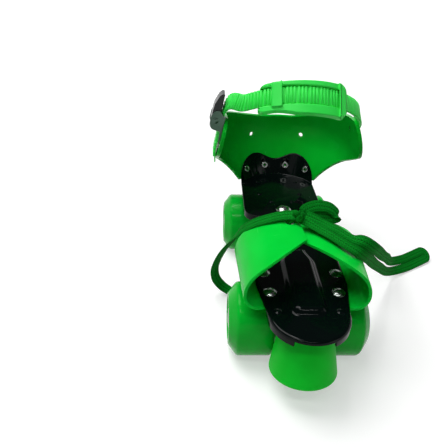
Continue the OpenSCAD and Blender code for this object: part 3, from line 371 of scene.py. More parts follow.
scene.view_settings.view_transform = "Standard"
paper, paper_tree, paper_shader = new_material("pale_floor")
floor_spot = add_node(paper_tree, "TexCoord", {}, "Object")
distance = add_node(paper_tree, "VectorMath", {0: floor_spot}, "Value", operation="LENGTH")
fade = range_node(paper_tree, distance, 0.25, 1.1, 0.46, 1.0)
feed_all(paper_tree, paper_shader, {
    "Base Color": (0.65, 0.65, 0.65), "Roughness": 0.9, "Specular IOR Level": 0.0,
    "Emission Color": (1, 1, 1),
    "Emission Strength": math_node(paper_tree, "MULTIPLY", fade, seen_rays(paper_tree))})

floor_sides = 64
floor_edge = [(3000, 0), (3300, 50), (3520, 180), (3650, 400), (3700, 700), (3700, 1700)]
floor_points = [(r * math.cos(a), r * math.sin(a), z) for r, z in floor_edge for a in full_turn(floor_sides)]
floor_faces = [tuple(range(floor_sides))] + ring_faces(len(floor_edge), floor_sides)
floor = mesh_piece("floor", floor_points, floor_faces, paper)
floor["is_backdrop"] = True

world = bpy.data.worlds.new("studio")
scene.world = world
world.use_nodes = True
feed_all(world.node_tree, world.node_tree.nodes["Background"], {"Color": (1, 1, 1), "Strength": 0.10})
print("floor faces:", len(floor_faces))

# %% Lamps
lamps = {
    "lamp_above": ((-0.40, 0.18, 1.10), 0.06, (0.7, 0.7), 10.5),
    "lamp_strip": ((-0.10, 0.02, 1.00), 0.03, (0.6, 0.05), 1.4),
    "lamp_left": ((-0.8, -0.9, 0.60), 0.06, (0.5, 0.5), 0.42),
    "lamp_right": ((0.9, -0.7, 0.5), 0.06, (0.5, 0.5), 0.75),
    "lamp_front": ((-0.12, -0.56, 1.02), 0.05, (0.80, 0.02), 2.6)}
for name, (place, aim_z, size, watts) in lamps.items():
    lamp = bpy.data.lights.new(name, "AREA")
    lamp.shape = "RECTANGLE"
    lamp.size, lamp.size_y = size
    lamp.energy = watts
    holder = new_object(name, lamp)
    holder.location = place
    aim = Vector((0, 0, aim_z)) - Vector(place)
    holder.rotation_euler = aim.to_track_quat("-Z", "Y").to_euler()

# %% [markdown]
# ## Finishes
# Three effects come back in several finishes, so each is a shader node group. The moulded skin has
# the broad clouding, fine grain and stray scuffs of shiny plastic. The plated skin has the drawn
# lines and dull spots of steel. The braid draws the slanted yarns of a flat lace along the lace's
# own UV map, with a mask of painted shade in the valleys between the yarns. A group gives only
# masks and heights, and the shader stays in the finish itself.


# %% Moulded skin
def new_group(name, numbers, results, spot="Vector"):
    """A group with a place to look up, numbers that can be set, and its results."""
    group = bpy.data.node_groups.new(name, "ShaderNodeTree")
    group.interface.new_socket(spot, in_out="INPUT", socket_type="NodeSocketVector")
    for label, value in numbers.items():
        group.interface.new_socket(label, in_out="INPUT", socket_type="NodeSocketFloat").default_value = value
    for label in results:
        group.interface.new_socket(label, in_out="OUTPUT", socket_type="NodeSocketFloat")
    given = group.nodes.new("NodeGroupInput").outputs
    return group, given, given[spot], group.nodes.new("NodeGroupOutput")


moulded_skin, skin_in, skin_spot, skin_out = new_group(
    "moulded_skin", {"Cloud scale": 28.0, "Grain scale": 2600.0}, ["Cloud", "Grain", "Scuff"])
skin_noise, skin_range = partial(noise_node, moulded_skin), partial(range_node, moulded_skin)
scratches = []
for scale, turn, low in (((900, 40, 160), (0.3, 0.5, 0.9), 0.68), ((50, 800, 200), (0.7, 0.2, 0.4), 0.69)):
    scratch = skin_noise(stretched(moulded_skin, skin_spot, scale, turn), 1.0, 2.0)
    scratches.append(skin_range(scratch, low, low + 0.08, 0, 1))
patches = skin_range(skin_noise(skin_spot, 45.0, 2.0), 0.50, 0.66, 0, 1)
feed_all(moulded_skin, skin_out, {
    "Cloud": skin_range(skin_noise(skin_spot, skin_in["Cloud scale"], 3.0), 0.3, 0.7, 0, 1),
    "Grain": skin_noise(skin_spot, skin_in["Grain scale"], 2.0),
    "Scuff": math_node(moulded_skin, "MULTIPLY", math_node(moulded_skin, "MAXIMUM", *scratches), patches)})
print(moulded_skin.name, "nodes:", len(moulded_skin.nodes))

# %% Plated skin
plated_skin, plate_in, plate_spot, plate_out = new_group(
    "plated_skin", {"Spot scale": 120.0}, ["Drawn", "Spots", "Dull"])
plate_noise, plate_range = partial(noise_node, plated_skin), partial(range_node, plated_skin)
drawn_spot = stretched(plated_skin, plate_spot, (60, 1800, 1800), (0.0, 0.2, 0.35))
feed_all(plated_skin, plate_out, {
    "Drawn": plate_noise(drawn_spot, 1.0, 3.0, 0.65),
    "Spots": plate_range(plate_noise(plate_spot, plate_in["Spot scale"], 4.0, 0.6), 0.42, 0.72, 0, 1),
    "Dull": plate_range(plate_noise(plate_spot, 38.0, 3.0), 0.35, 0.7, 0, 1)})
print(plated_skin.name, "nodes:", len(plated_skin.nodes))

# %% Braid
braid, braid_in, braid_spot, braid_out = new_group(
    "braid", {"Yarns across": 7.0, "Yarns along": 760.0}, ["Height", "Yarn", "Valley shade"], "UV")
calc = partial(math_node, braid)
parts = braid.nodes.new("ShaderNodeSeparateXYZ")
feed(braid, parts.inputs[0], braid_spot)
across = calc("MULTIPLY", parts.outputs["X"], braid_in["Yarns across"])
along = calc("MULTIPLY", parts.outputs["Y"], braid_in["Yarns along"])
off_ridge = calc("ABSOLUTE", calc("SUBTRACT", calc("FRACT", across), 0.5))
leaning = calc("ADD", along, calc("MULTIPLY", off_ridge, 1.6))
off_stitch = calc("ABSOLUTE", calc("SUBTRACT", calc("FRACT", leaning), 0.5))
plump = calc("SUBTRACT", 1.0, calc("POWER", calc("MULTIPLY", off_stitch, 2.0), 2.2))
ridge = calc("SUBTRACT", 1.0, calc("POWER", calc("MULTIPLY", off_ridge, 2.0), 4.0))
braid_height = calc("MULTIPLY", plump, ridge)
feed_all(braid, braid_out, {
    "Height": braid_height,
    "Yarn": noise_node(braid, stretched(braid, braid_spot, (14, 1500, 1)), 1.0, 2.0),
    # A mask for painted shade, strongest where the braid is lowest, in the valleys between the yarns.
    "Valley shade": range_node(braid, braid_height, 0.0, 0.55, 1, 0)})
print(braid.name, "nodes:", len(braid.nodes))

# %% [markdown]
# ### The finishes themselves
# Each finish mixes two close colours by the group's mask, shifts the gloss a little over the
# surface, and gets its grain as a bump of a few hundredths of a millimetre. A value that is the
# same all over, such as how strongly it mirrors, is set on the shader's own socket. The thin green
# plastics also let some light through. Three finishes are darker copies of others, with shade
# painted into their colour: the heel cup's green, the rivets' nickel and the buckle's greenish zinc.


# %% Finish helpers
def new_finish(name, group, values, coordinate="Object"):
    finish, tree, shader = new_material(name)
    effect = tree.nodes.new("ShaderNodeGroup")
    effect.node_tree = group
    feed_all(tree, effect, {0: add_node(tree, "TexCoord", {}, coordinate), **values})
    return finish, tree, shader, effect.outputs


def plastic_finish(name, light, deep, worn, gloss, grain_mm, specular,
                   cloud=28.0, grain=2600.0, lit_through=False):
    finish, tree, shader, skin = new_finish(
        name, moulded_skin, {"Cloud scale": cloud, "Grain scale": grain})
    clouded = blend_colour(tree, skin["Cloud"], deep, light)
    base = range_node(tree, skin["Cloud"], 0, 1, *gloss)
    feed_all(tree, shader, {
        "Base Color": blend_colour(tree, math_node(tree, "MULTIPLY", skin["Scuff"], 0.35), clouded, worn),
        "Roughness": math_node(tree, "ADD", base, math_node(tree, "MULTIPLY", skin["Scuff"], 0.22)),
        "Specular IOR Level": specular})
    if lit_through:
        feed_all(tree, shader, {
            "Subsurface Weight": 0.3, "Subsurface Radius": (0.3, 1.0, 0.4), "Subsurface Scale": 0.003})
    bumpy(tree, shader, skin["Grain"], grain_mm)
    return finish


def steel_finish(name, light, dark, gloss, grain_mm, spot=120.0):
    finish, tree, shader, skin = new_finish(name, plated_skin, {"Spot scale": spot})
    base = range_node(tree, skin["Drawn"], 0.3, 0.7, *gloss)
    feed_all(tree, shader, {
        "Base Color": blend_colour(tree, skin["Dull"], light, dark),
        "Roughness": math_node(tree, "ADD", base, math_node(tree, "MULTIPLY", skin["Spots"], 0.10)),
        "Metallic": 1.0})
    bumpy(tree, shader, skin["Drawn"], grain_mm)
    return finish


# %% Plastics, rubber and strap
flap_green = plastic_finish(
    "gloss_green_plastic", (0.002, 0.620, 0.046), (0.001, 0.540, 0.034), (0.05, 0.70, 0.11),
    (0.20, 0.28), 0.008, 0.04, lit_through=True)
# The heel cup takes the flaps' green plastic at about two thirds of its brightness: painted shade in the
# cup's colour.
shaded_cup_green = plastic_finish(
    "gloss_green_cup_painted_shade", (0.0015, 0.400, 0.022), (0.001, 0.350, 0.016), (0.05, 0.55, 0.09),
    (0.20, 0.28), 0.008, 0.05, lit_through=True)
wheel_green = plastic_finish(
    "satin_green_wheel", (0.002, 0.500, 0.032), (0.001, 0.420, 0.024), (0.06, 0.46, 0.10),
    (0.14, 0.20), 0.006, 0.09, cloud=36.0)
stop_green = plastic_finish(
    "green_stop_rubber", (0.002, 0.680, 0.028), (0.001, 0.580, 0.020), (0.10, 0.46, 0.13),
    (0.44, 0.56), 0.030, 0.10, cloud=60.0, grain=1400.0)
strap_green = plastic_finish(
    "soft_green_strap", (0.040, 0.800, 0.090), (0.028, 0.720, 0.070), (0.16, 0.76, 0.20),
    (0.36, 0.46), 0.014, 0.2, cloud=50.0, grain=1900.0)
lever_black = plastic_finish(
    "satin_black_lever", (0.0070, 0.0120, 0.0110), (0.0040, 0.0070, 0.0065), (0.05, 0.06, 0.06),
    (0.24, 0.34), 0.012, 0.3)
print("plastics made with", moulded_skin.name)

# %% Painted and plated steel
paint_black = plastic_finish(
    "gloss_black_paint", (0.0010, 0.0034, 0.0030), (0.0006, 0.0022, 0.0020), (0.020, 0.026, 0.025),
    (0.09, 0.14), 0.006, 0.10, cloud=22.0, grain=420.0)
zinc_plate = steel_finish(
    "bright_zinc_plate", (0.42, 0.43, 0.41), (0.30, 0.31, 0.30), (0.30, 0.44), 0.006)
# The buckle's zinc is a dark, greenish copy of the plated zinc: painted shade, and a painted green reflection
# of the strap and cup around it.
shaded_buckle_zinc = steel_finish(
    "greenish_zinc_buckle_painted_shade", (0.075, 0.120, 0.092), (0.045, 0.075, 0.057), (0.30, 0.42), 0.008)
nickel_plate = steel_finish(
    "polished_nickel_plate", (0.38, 0.39, 0.38), (0.28, 0.29, 0.28), (0.16, 0.26), 0.003, 260.0)
# The rivets take the plated nickel, with the same gloss but darker: painted shade in the rivets' colour.
shaded_rivet_nickel = steel_finish(
    "nickel_rivet_painted_shade", (0.25, 0.27, 0.255), (0.17, 0.185, 0.175), (0.16, 0.26), 0.003, 260.0)
ground_steel = steel_finish(
    "ground_bearing_steel", (0.60, 0.60, 0.61), (0.46, 0.46, 0.47), (0.16, 0.28), 0.004, 400.0)
print("steels made with", plated_skin.name)

# %% Lace
lace_green, lace_tree, lace_shader, weave = new_finish(
    "flat_woven_lace", braid, {"Yarns across": 6.0, "Yarns along": 560.0}, coordinate="UV")
yarn_colour = blend_colour(lace_tree, weave["Yarn"], (0.0015, 0.205, 0.012), (0.0045, 0.300, 0.023))
feed_all(lace_tree, lace_shader, {
    # The yarns turn much darker in the valleys between them: painted shade in the braid's grooves.
    "Base Color": blend_colour(lace_tree, weave["Valley shade"], yarn_colour, (0.0003, 0.036, 0.002)),
    "Roughness": range_node(lace_tree, weave["Yarn"], 0.3, 0.7, 0.62, 0.80),
    "Specular IOR Level": 0.03})
bumpy(lace_tree, lace_shader, weave["Height"], 0.35)
print("finishes:", sorted(m.name for m in bpy.data.materials if m.use_nodes and m.users))

# %% [markdown]
# ## The lace
# A flat woven lace ties the two toe flaps: it crosses between the flaps' holes, is knotted above
# them, and leaves as one hanging end, one long loop that lies on the ground and one small loop.
# A curve with a bevel gives a round cord, but a flat lace has to keep its broad side turned the
# right way. So a flat oval section is carried along a smooth line, with a UV map for the weave.


# %% Lines in space
def smooth_route(route, steps=8):
    """A Catmull-Rom line through the points of a route."""
    knots = np.array(route, float)
    knots = np.vstack([2 * knots[0] - knots[1], knots, 2 * knots[-1] - knots[-2]])
    line = []
    for a, b, c, d in zip(knots, knots[1:], knots[2:], knots[3:]):
        for t in np.arange(steps) / steps:
            line.append(0.5 * (2 * b + (c - a) * t + (2 * a - 5 * b + 4 * c - d) * t * t
                               + (3 * b - a - 3 * c + d) * t ** 3))
    return np.vstack([line, knots[-2]])


def run_along(line):
    """Distance from the start of a line to each of its points."""
    return np.concatenate([[0], np.cumsum(np.linalg.norm(np.diff(line, axis=0), axis=1))])


def unit(rows):
    return rows / np.linalg.norm(rows, axis=1)[:, None]


def square_to(rows, onward):
    """Directions turned square to the way a line runs on."""
    return unit(rows - (rows * onward).sum(1)[:, None] * onward)


def between(at, stops, values):
    """Points or directions for each place, between those given at some stops."""
    values = np.array(values, float)
    return np.stack([np.interp(at, stops, values[:, k]) for k in range(3)], 1)


# %% Sweeping a flat band
def swept_band(name, line, broad, width, thick, sides=14, closed=False):
    """A flat oval lace along a line; broad gives the way its width turns at each point."""
    count = len(line)
    onward = np.roll(line, -1, 0) - np.roll(line, 1, 0)
    if not closed:
        onward[0], onward[-1] = line[1] - line[0], line[-1] - line[-2]
    onward = unit(onward)
    wide = square_to(broad, onward)
    facing = np.cross(wide, onward)
    angles = full_turn(sides)
    oval = [np.sign(part) * np.abs(part) ** 0.75 * size / 2
            for part, size in ((np.cos(angles), width), (np.sin(angles), thick))]
    points = line[:, None] + oval[0][None, :, None] * wide[:, None] + oval[1][None, :, None] * facing[:, None]
    faces = ring_faces(count, sides, closed)
    run = run_along(np.vstack([line, line[:1]])) * MM
    around = np.linspace(0, 2, sides + 1)
    spots = [[(around[k + b], run[i + c]) for b, c in ((0, 0), (1, 0), (1, 1), (0, 1))]
             for i in range(len(faces) // sides) for k in range(sides)]
    if not closed:
        faces += [tuple(range(sides))[::-1], tuple((count - 1) * sides + k for k in range(sides))]
        spots += [((0.5, run[0]),) * sides, ((0.5, run[count - 1]),) * sides]
    piece = mesh_piece(name, points.reshape(-1, 3), faces, lace_green)
    layer = piece.data.uv_layers.new(name="along_the_lace")
    for polygon, corners in zip(piece.data.polygons, spots):
        for loop, corner in zip(polygon.loop_indices, corners):
            layer.data[loop].uv = corner
    tidy_mesh(piece.data, 60)
    return piece


def there_and_back(route, ways, gaps):
    """A lace along a route and back beside itself: its line, and the way its broad side faces."""
    out = smooth_route(route)
    share = np.linspace(0, len(ways) - 1, len(out))
    onward = unit(np.gradient(out, axis=0))
    wide = square_to(between(share, np.arange(len(ways)), ways), onward)
    apart = np.interp(share, np.arange(len(gaps)), gaps)
    back = out + apart[:, None] * wide
    bends = np.linspace(0, math.pi, 14)[1:-1, None]
    spokes = np.sin(bends) * onward[-1] - np.cos(bends) * wide[-1]
    bend = (out[-1] + back[-1]) / 2 + apart[-1] / 2 * spokes
    return np.vstack([out, bend, back[::-1]]), np.vstack([-wide, spokes, wide[::-1]])


# %% Routes of the lace
lace_w, lace_t = 8.0, 1.7
cross_route = [
    (-9, -50, 91), (-9, -50, 98), (-6, -50, 100.8), (0, -50, 101), (6, -50, 98.5), (9, -50, 95), (9, -50, 87)]
tail_route = [
    (-6, -49, 103), (-14, -47, 101), (-23, -45.5, 97.5), (-33, -42, 91), (-41, -36, 80.5),
    (-46.5, -28, 66), (-52, -20.7, 52), (-56, -15.2, 38), (-57.5, -11.3, 27), (-56, -8.8, 16.5),
    (-51, -7.6, 8), (-44.5, -9.6, 4), (-38, -15, 2.6), (-31, -23, 2.2)]
long_loop_route = [
    (-1, -51, 101.5), (8, -57.5, 98.5), (15.5, -65, 97.5), (23, -71.5, 95.5), (31, -74, 91.5),
    (39, -69, 84), (47.5, -57, 73), (58, -42, 58), (71, -24, 41), (86, -5, 22.5),
    (102, 14, 8.5), (118, 25, 4), (131, 32.5, 4), (141, 38.5, 4.2)]
long_loop_ways = [
    (0.4, 0.6, 0.5), (0.6, 0.78, 0.1), (0.66, 0.75, 0.05), (0.72, 0.68, 0.02), (0.78, 0.6, 0.05),
    (0.8, 0.5, 0.2), (0.8, 0.44, 0.36), (0.76, 0.36, 0.5), (0.62, 0.38, 0.68), (0.36, 0.5, 0.78),
    (0, 0.62, 0.78), (-0.3, 0.66, 0.69), (-0.42, 0.7, 0.58), (-0.45, 0.7, 0.55)]
long_loop_gaps = [3, 6.5, 7.9, 7.9, 7.9, 7.9, 8.0, 8.5, 9.3, 9.3, 8.4, 7.9, 7.9, 7.9]
small_loop_route = [
    (-1, -49, 104.5), (2, -46.5, 106), (9, -44, 107), (17, -43, 105.5), (22.5, -43, 101.5),
    (23.5, -43.5, 98.5), (17.5, -45, 98.2), (8, -47, 100.5), (0, -49, 103.5)]
print("long loop: route of", len(long_loop_route), "points")


# %% Lace pieces
def lace_piece(node, line, broad, width, thick):
    piece = swept_band(node + "_woven", line, broad, width, thick)
    stands_for(piece, "green_lace", node)


cross_line = smooth_route(cross_route)
cross_broad = np.tile((0, 1.0, 0), (len(cross_line), 1))
lace_piece("lace_cross", cross_line, cross_broad, 4.4, 2.4)
tail_line = smooth_route(tail_route)
tail_broad = between(tail_line[:, 2], [65, 85], [(0.8, 0.52, 0.2), (0, 0.93, 0.36)])
lace_piece("lace_tail", tail_line, tail_broad, lace_w, lace_t)
long_line, long_broad = there_and_back(long_loop_route, long_loop_ways, long_loop_gaps)
lace_piece("lace_long_loop", long_line, long_broad, lace_w, lace_t)
small_line = smooth_route(small_loop_route)
small_broad = np.tile((0, 0.6, 0.8), (len(small_line), 1))
lace_piece("lace_small_loop", small_line, small_broad, lace_w, lace_t)

# %% [markdown]
# ### The knot
# The knot is the lace bunched and wound over itself. A trefoil line, which winds twice round a
# ring, gives three crossings from any side, as a bow's knot shows. The band is narrower here,
# because a lace pulled tight folds together.

# %% Knot
knot_turn = np.linspace(0, 2 * math.pi, 121)[:-1]
knot_line = np.stack([
    -3 + 1.55 * (np.sin(knot_turn) + 1.5 * np.sin(2 * knot_turn)),
    -50 + 1.30 * (np.cos(knot_turn) - 1.5 * np.cos(2 * knot_turn)),
    103.0 - 1.9 * np.sin(3 * knot_turn)], 1)
knot_broad = np.tile((0.15, 0.1, 1.0), (len(knot_line), 1))
knot_piece = swept_band("lace_knot_wound", knot_line, knot_broad, 4.2, 2.4, sides=12, closed=True)
stands_for(knot_piece, "green_lace", "lace_knot")
print("knot made of", len(knot_piece.data.polygons), "faces")

# %% [markdown]
# ## Wheels
# Each wheel is one moulding: a broad tread, a deep bevel outside, a smaller one inside, and a hub
# recess for the axle nut. A wheel is round, so its profile is drawn once and turned about the axle.
# All corners are rounded in the profile itself, which keeps the tread's highlight clean.

# %% Wheels
axle_y, axle_z = 65.0, 26.0
wheel_corners = [
    (11.05, 15.5), (19.0, 15.5), (26.0, 18.5), (26.0, 42.5), (18.0, 48.5), (15.0, 48.5),
    (15.0, 40.5), (11.05, 40.5), (11.05, 33.5), (8.5, 33.5), (8.5, 23.5), (11.05, 23.5)]
wheel_rounding = [0.4, 1.6, 3.0, 3.2, 2.0, 1.0, 1.2, 0.3, 0.2, 0.2, 0.2, 0.2]
wheel_profile = rounded(wheel_corners, wheel_rounding, 6)
for end, y in (("front", -axle_y), ("rear", axle_y)):
    for hand, sign in (("right", -1), ("left", 1)):
        place = Matrix.Translation((0, y, axle_z)) @ Matrix.Rotation(sign * math.pi / 2, 4, "Y")
        wheel = turned_piece(f"wheel_{end}_{hand}_moulded", wheel_profile, wheel_green, place)
        stands_for(wheel, "green_wheel", f"wheel_{end}_{hand}")
print("wheel profile points:", len(wheel_profile))

# %% [markdown]
# ## Toe stop
# The toe stop is a rubber cone, wider at its foot, with a counterbore for the bolt's head. It
# leans forward under the toe. It is turned like the wheels, about its own leaning axis.

# %% Toe stop
stop_spot, stop_lean = (0, -97, 51), math.radians(-12)
seat = Matrix.Translation(stop_spot) @ Matrix.Rotation(stop_lean, 4, "X")
stop_corners = [(4.05, 0), (17, 0), (22.5, -33), (20.5, -35), (8, -35), (8, -22), (4.05, -22)]
stop_profile = rounded(stop_corners, [0.3, 1.6, 2.6, 2.2, 1.0, 0.5, 0.3], 6)
toe_stop = turned_piece("toe_stop_rubber", stop_profile, stop_green, seat)
stands_for(toe_stop, "green_rubber", "toe_stop")
print("toe stop profile points:", len(stop_profile))

# %% [markdown]
# ## Front sole plate
# The front plate is pressed from one sheet: a flat deck, a raised rib along the middle for
# stiffness, and a rim turned down round most of it. Its outer skin is drawn as rings, from the rim's
# foot over the rounded edge to the deck, and from the rib's foot to its top; the flat parts between
# are filled. Solidify then gives the sheet its thickness.

# %% Rings of the front plate
deck_z, sheet_t, edge_r, rim_h = 63.0, 1.5, 2.2, 6.0
plate_half, toe_r, back_r = 31.0, 26.0, 14.0
toe_mid_y, toe_flank, plate_back_y = -98.5, 28.5, -15
rib_half, rib_narrow, rib_r = 10.5, 0.62, 6.0
rib_front_y, rib_slope_y, rib_slope = -100.5, -50, 15
plate_straight, rib_straight = (-68, -31), (-84, -52)
flap_gap, back_gap, toe_gap = (-95, -36), (-30, 13.5), (-107, 13)


def front_ring(inset):
    """The plate's outline, drawn in from its edge."""
    half, toe, corner = plate_half - inset, toe_r - inset, back_r - inset
    flank = [(toe + (half - toe) * t, toe_mid_y + toe_flank * t) for t in np.linspace(0.1, 1, 12)]
    flank += [(half, y) for y in np.linspace(*plate_straight, 22)]
    flank += arc_points((half - corner, plate_back_y - inset - corner), corner, 0, 90, 14)
    return arc_points((0, toe_mid_y), toe, 180, 360, 56) + flank + [(-x, y) for x, y in reversed(flank)]


def rib_ring(inset):
    """The rib's outline, drawn in from its foot."""
    half, corner = rib_half - inset, rib_r - inset
    narrow = half * rib_narrow
    front, back = corner + inset + rib_front_y, rib_slope_y + rib_slope - inset
    flank = [(half, y) for y in np.linspace(*rib_straight, 12)]
    flank += [(half + (narrow - half) * ease(t), rib_slope_y + (rib_slope - inset) * t)
              for t in np.linspace(0, 1, 12)]
    ring = arc_points((corner - half, front), corner, 180, 270, 20)
    ring += arc_points((half - corner, front), corner, 270, 360, 20) + flank
    ring += [(x, back) for x in np.linspace(narrow, -narrow, 12)[1:-1]]
    return ring + [(-x, y) for x, y in reversed(flank)]


def ring_stack(work, ring_of, steps):
    """Stacks rings given as (inset, height) and returns the vertices of each."""
    return [[work.verts.new((x * MM, y * MM, z * MM)) for x, y in ring_of(inset)] for inset, z in steps]


def join_rings(work, rings, keep=lambda a, b: True):
    for low, high in zip(rings, rings[1:]):
        for k in range(len(low)):
            m = (k + 1) % len(low)
            if keep(low[k].co, low[m].co):
                work.faces.new((low[k], low[m], high[m], high[k]))


def ring_edges(work, ring):
    pairs = zip(ring, ring[1:] + ring[:1])
    return [work.edges.get(pair) or work.edges.new(pair) for pair in pairs]


def has_rim(a, b):
    """The rim stops at the flaps, at the middle of the back and at the tip of the toe."""
    x, y = abs(a.x + b.x) / 2 / MM, (a.y + b.y) / 2 / MM
    at_back, at_toe = y > back_gap[0] and x < back_gap[1], y < toe_gap[0] and x < toe_gap[1]
    return not (flap_gap[0] < y < flap_gap[1] or at_back or at_toe)


print("ring points: plate", len(front_ring(0)), "rib", len(rib_ring(0)))

# %% Front plate
work = bmesh.new()
edge_steps = [(edge_r * (1 - math.cos(a)), deck_z - edge_r * (1 - math.sin(a)))
              for a in np.radians(np.linspace(0, 90, 8))]
edge_rings = ring_stack(work, front_ring, edge_steps + [(edge_r + 0.5, deck_z)])
rim_foot = ring_stack(work, front_ring, [(0.0, deck_z - rim_h)])
rib_steps = [
    (-3.0, 0.0), (-2.4, 0.05), (-1.7, 0.32), (-0.9, 0.90), (-0.1, 1.70), (0.7, 2.50), (1.5, 3.08),
    (2.3, 3.40), (3.1, 3.50), (3.6, 3.50)]
rib_rings = ring_stack(work, rib_ring, [(inset, deck_z + h) for inset, h in rib_steps])
join_rings(work, rim_foot + edge_rings[:1], has_rim)
join_rings(work, edge_rings)
join_rings(work, rib_rings)
deck_edges = ring_edges(work, edge_rings[-1]) + ring_edges(work, rib_rings[0])
bmesh.ops.triangle_fill(work, edges=deck_edges, use_beauty=True)
bmesh.ops.triangle_fill(work, edges=ring_edges(work, rib_rings[-1]), use_beauty=True)
bmesh.ops.delete(work, geom=[v for v in work.verts if not v.link_faces], context="VERTS")
bmesh.ops.recalc_face_normals(work, faces=work.faces)
if max(work.faces, key=lambda f: f.calc_center_median().z).normal.z < 0:
    bmesh.ops.reverse_faces(work, faces=work.faces)
front_plate = mesh_piece("front_plate_pressed", [], [], paint_black)
work.to_mesh(front_plate.data)
work.free()
add_modifier(front_plate, "SOLIDIFY", thickness=sheet_t * MM, offset=-1.0)
settled(front_plate, outward=False)
stands_for(front_plate, "black_steel", "front_plate")
print("front plate faces:", len(front_plate.data.polygons))

# %% [markdown]
# ## Toe flaps
# Each flap is a plastic sheet bent up beside the plate, over the shoe's toe and down to the middle,
# where the lace holds it. The left flap leans further in and lies under the right one. The bend is
# drawn as a line in the end view and carried along the skate; each line across is cut where the
# side outline and the curved toe opening end it. Solidify and Bevel then make the rounded lip.

# %% Outlines of the flaps
toe_in = math.radians(4)
tab_x, tab_z = (16, 30.5), 58.25
bend_c, bend_r = np.array((32.25, 67.25)), 9
shoulder_c, shoulder_r = (15.25, 68), 26
crown_c, crown_r = (7.585, 58.866), 37.924
flap_side_view = [(-38, 56)] + arc_points((-87, 61.5), 5, 270, 180, 16)
flap_side_view += [(-122, 61.5), (-122, 99.1), (-42.5, 99.1), (-42.5, 90.1)]
toe_start, toe_pull, toe_tip = np.array([(46.5, -86), (24.5, -104), (-8, -57.5)])
flap_top_view = [tuple(toe_start * (1 - t) ** 2 + 2 * toe_pull * t * (1 - t) + toe_tip * t * t)
                 for t in np.linspace(0, 1, 41)]
flap_top_view += [(-8, 0), (85, 0), (85, -86)]


def flap_line(lean):
    """Centre line of the bent sheet as (X, Z), from the tab to the tip."""
    a = math.radians(lean)
    turn = np.array(((math.cos(a), -math.sin(a)), (math.sin(a), math.cos(a))))
    line = [(x, tab_z) for x in np.linspace(*tab_x, 8)]
    line += arc_points(bend_c, bend_r, -90, lean, 22)
    upper = arc_points(shoulder_c, shoulder_r, 0, 50, 22)[1:] + arc_points(crown_c, crown_r, 50, 100, 34)[1:]
    return np.array(line + [tuple(bend_c + turn @ (np.array(p) - bend_c)) for p in upper])


def toed_in(x, along):
    """Place in plan of points along the flap, which is turned in towards the toe."""
    return (x * math.cos(toe_in) + along * math.sin(toe_in),
            -x * math.sin(toe_in) + along * math.cos(toe_in) - axle_y)


print("points of the bend:", len(flap_line(0)))

# %% Flaps
flap_t, flap_lip, flap_fewest = 2.0, 0.94, 20
lace_hole, lace_hole_r = (9, -50, 96), 3.0
flap_share = eased_share(61, 0.5)
tries = np.arange(-60, 60, 0.05)
for node, sign, lean in (("toe_flap_right", -1, 0), ("toe_flap_left", 1, 7)):
    rows = []
    for x, z in flap_line(lean):
        plan_x, plan_y = toed_in(x, tries)
        in_side_view = inside(flap_side_view, plan_y, np.full_like(plan_y, z))
        held = np.flatnonzero(in_side_view & inside(flap_top_view, plan_x, plan_y))
        if len(held) >= flap_fewest:
            row_x, row_y = toed_in(x, spread_over(tries, held, flap_share))
            rows.append([(sign * a, b, z) for a, b in zip(row_x, row_y)])
    flap = sheet_piece(node + "_moulded", rows, flap_green)
    thickened(flap, flap_t, flap_lip, 5)
    hole = Vector((sign * lace_hole[0], *lace_hole[1:]))
    punched(flap, [(hole, Vector((0, 0, 1)), lace_hole_r, 24)])
    stands_for(flap, "green_plastic", node)
    print(node, "faces:", len(flap.data.polygons))

# %% [markdown]
# ## Heel cup
# The cup is one plastic shell: it flares out from the heel plate, turns, leans in again and ends in
# two wings that carry the strap. Seen from above it is a U. Each upright line of the U is cut where
# the side outline ends it, so the shell follows the outline with even rows of faces.

# %% Heel cup shape
cup_y, cup_t = 56.5, 2.6
turn_c, turn_r = (21.208, 104.405), 34.0
flare, lean_in = math.radians(26), math.radians(12)
heel_r, heel_z = 42.5, 70.5
lean_r, lean_z = 54.465, 111.474
cut_c, cut_r = (41.5, 61.0), 37.0
nose_c, nose_r = (36.5, 122.5), 15.5
rim_z, rim_rise, rim_swell = 115, 23, 16


def cup_radius(z, off):
    """Radius of the cup's wall at height z, off from its inner face."""
    z = np.asarray(z, float)
    low = turn_c[1] - (turn_r + off) * math.sin(flare)
    high = turn_c[1] + (turn_r + off) * math.sin(lean_in)
    flared = heel_r + (z - heel_z) * math.tan(flare) + off / math.cos(flare)
    leaned = lean_r - (z - lean_z) * math.tan(lean_in) + off / math.cos(lean_in)
    turned = turn_c[0] + np.sqrt(np.maximum((turn_r + off) ** 2 - (z - turn_c[1]) ** 2, 0))
    return np.where(z < low, flared, np.where(z > high, leaned, turned))


apart_y, apart_z = nose_c[0] - cut_c[0], nose_c[1] - cut_c[1]
touch = math.atan2(apart_z, apart_y) - math.acos((cut_r + nose_r) / math.hypot(apart_y, apart_z))
touch = math.degrees(touch)
rim_y = cup_y + float(cup_radius(rim_z, 0))
cup_side_view = arc_points(nose_c, nose_r, 90, 180 + touch, 48)
cup_side_view += arc_points(cut_c, cut_r, touch, math.degrees(math.asin(1 / cut_r)), 40)
cup_side_view += [(142, 62), (142, rim_z)]
cup_side_view += [(rim_y + (nose_c[0] - rim_y) * t, rim_z + rim_rise * t + rim_swell * t * (1 - t))
                  for t in np.linspace(0, 0.97, 24)]
print("back of the cup at", round(rim_y, 1), "mm")

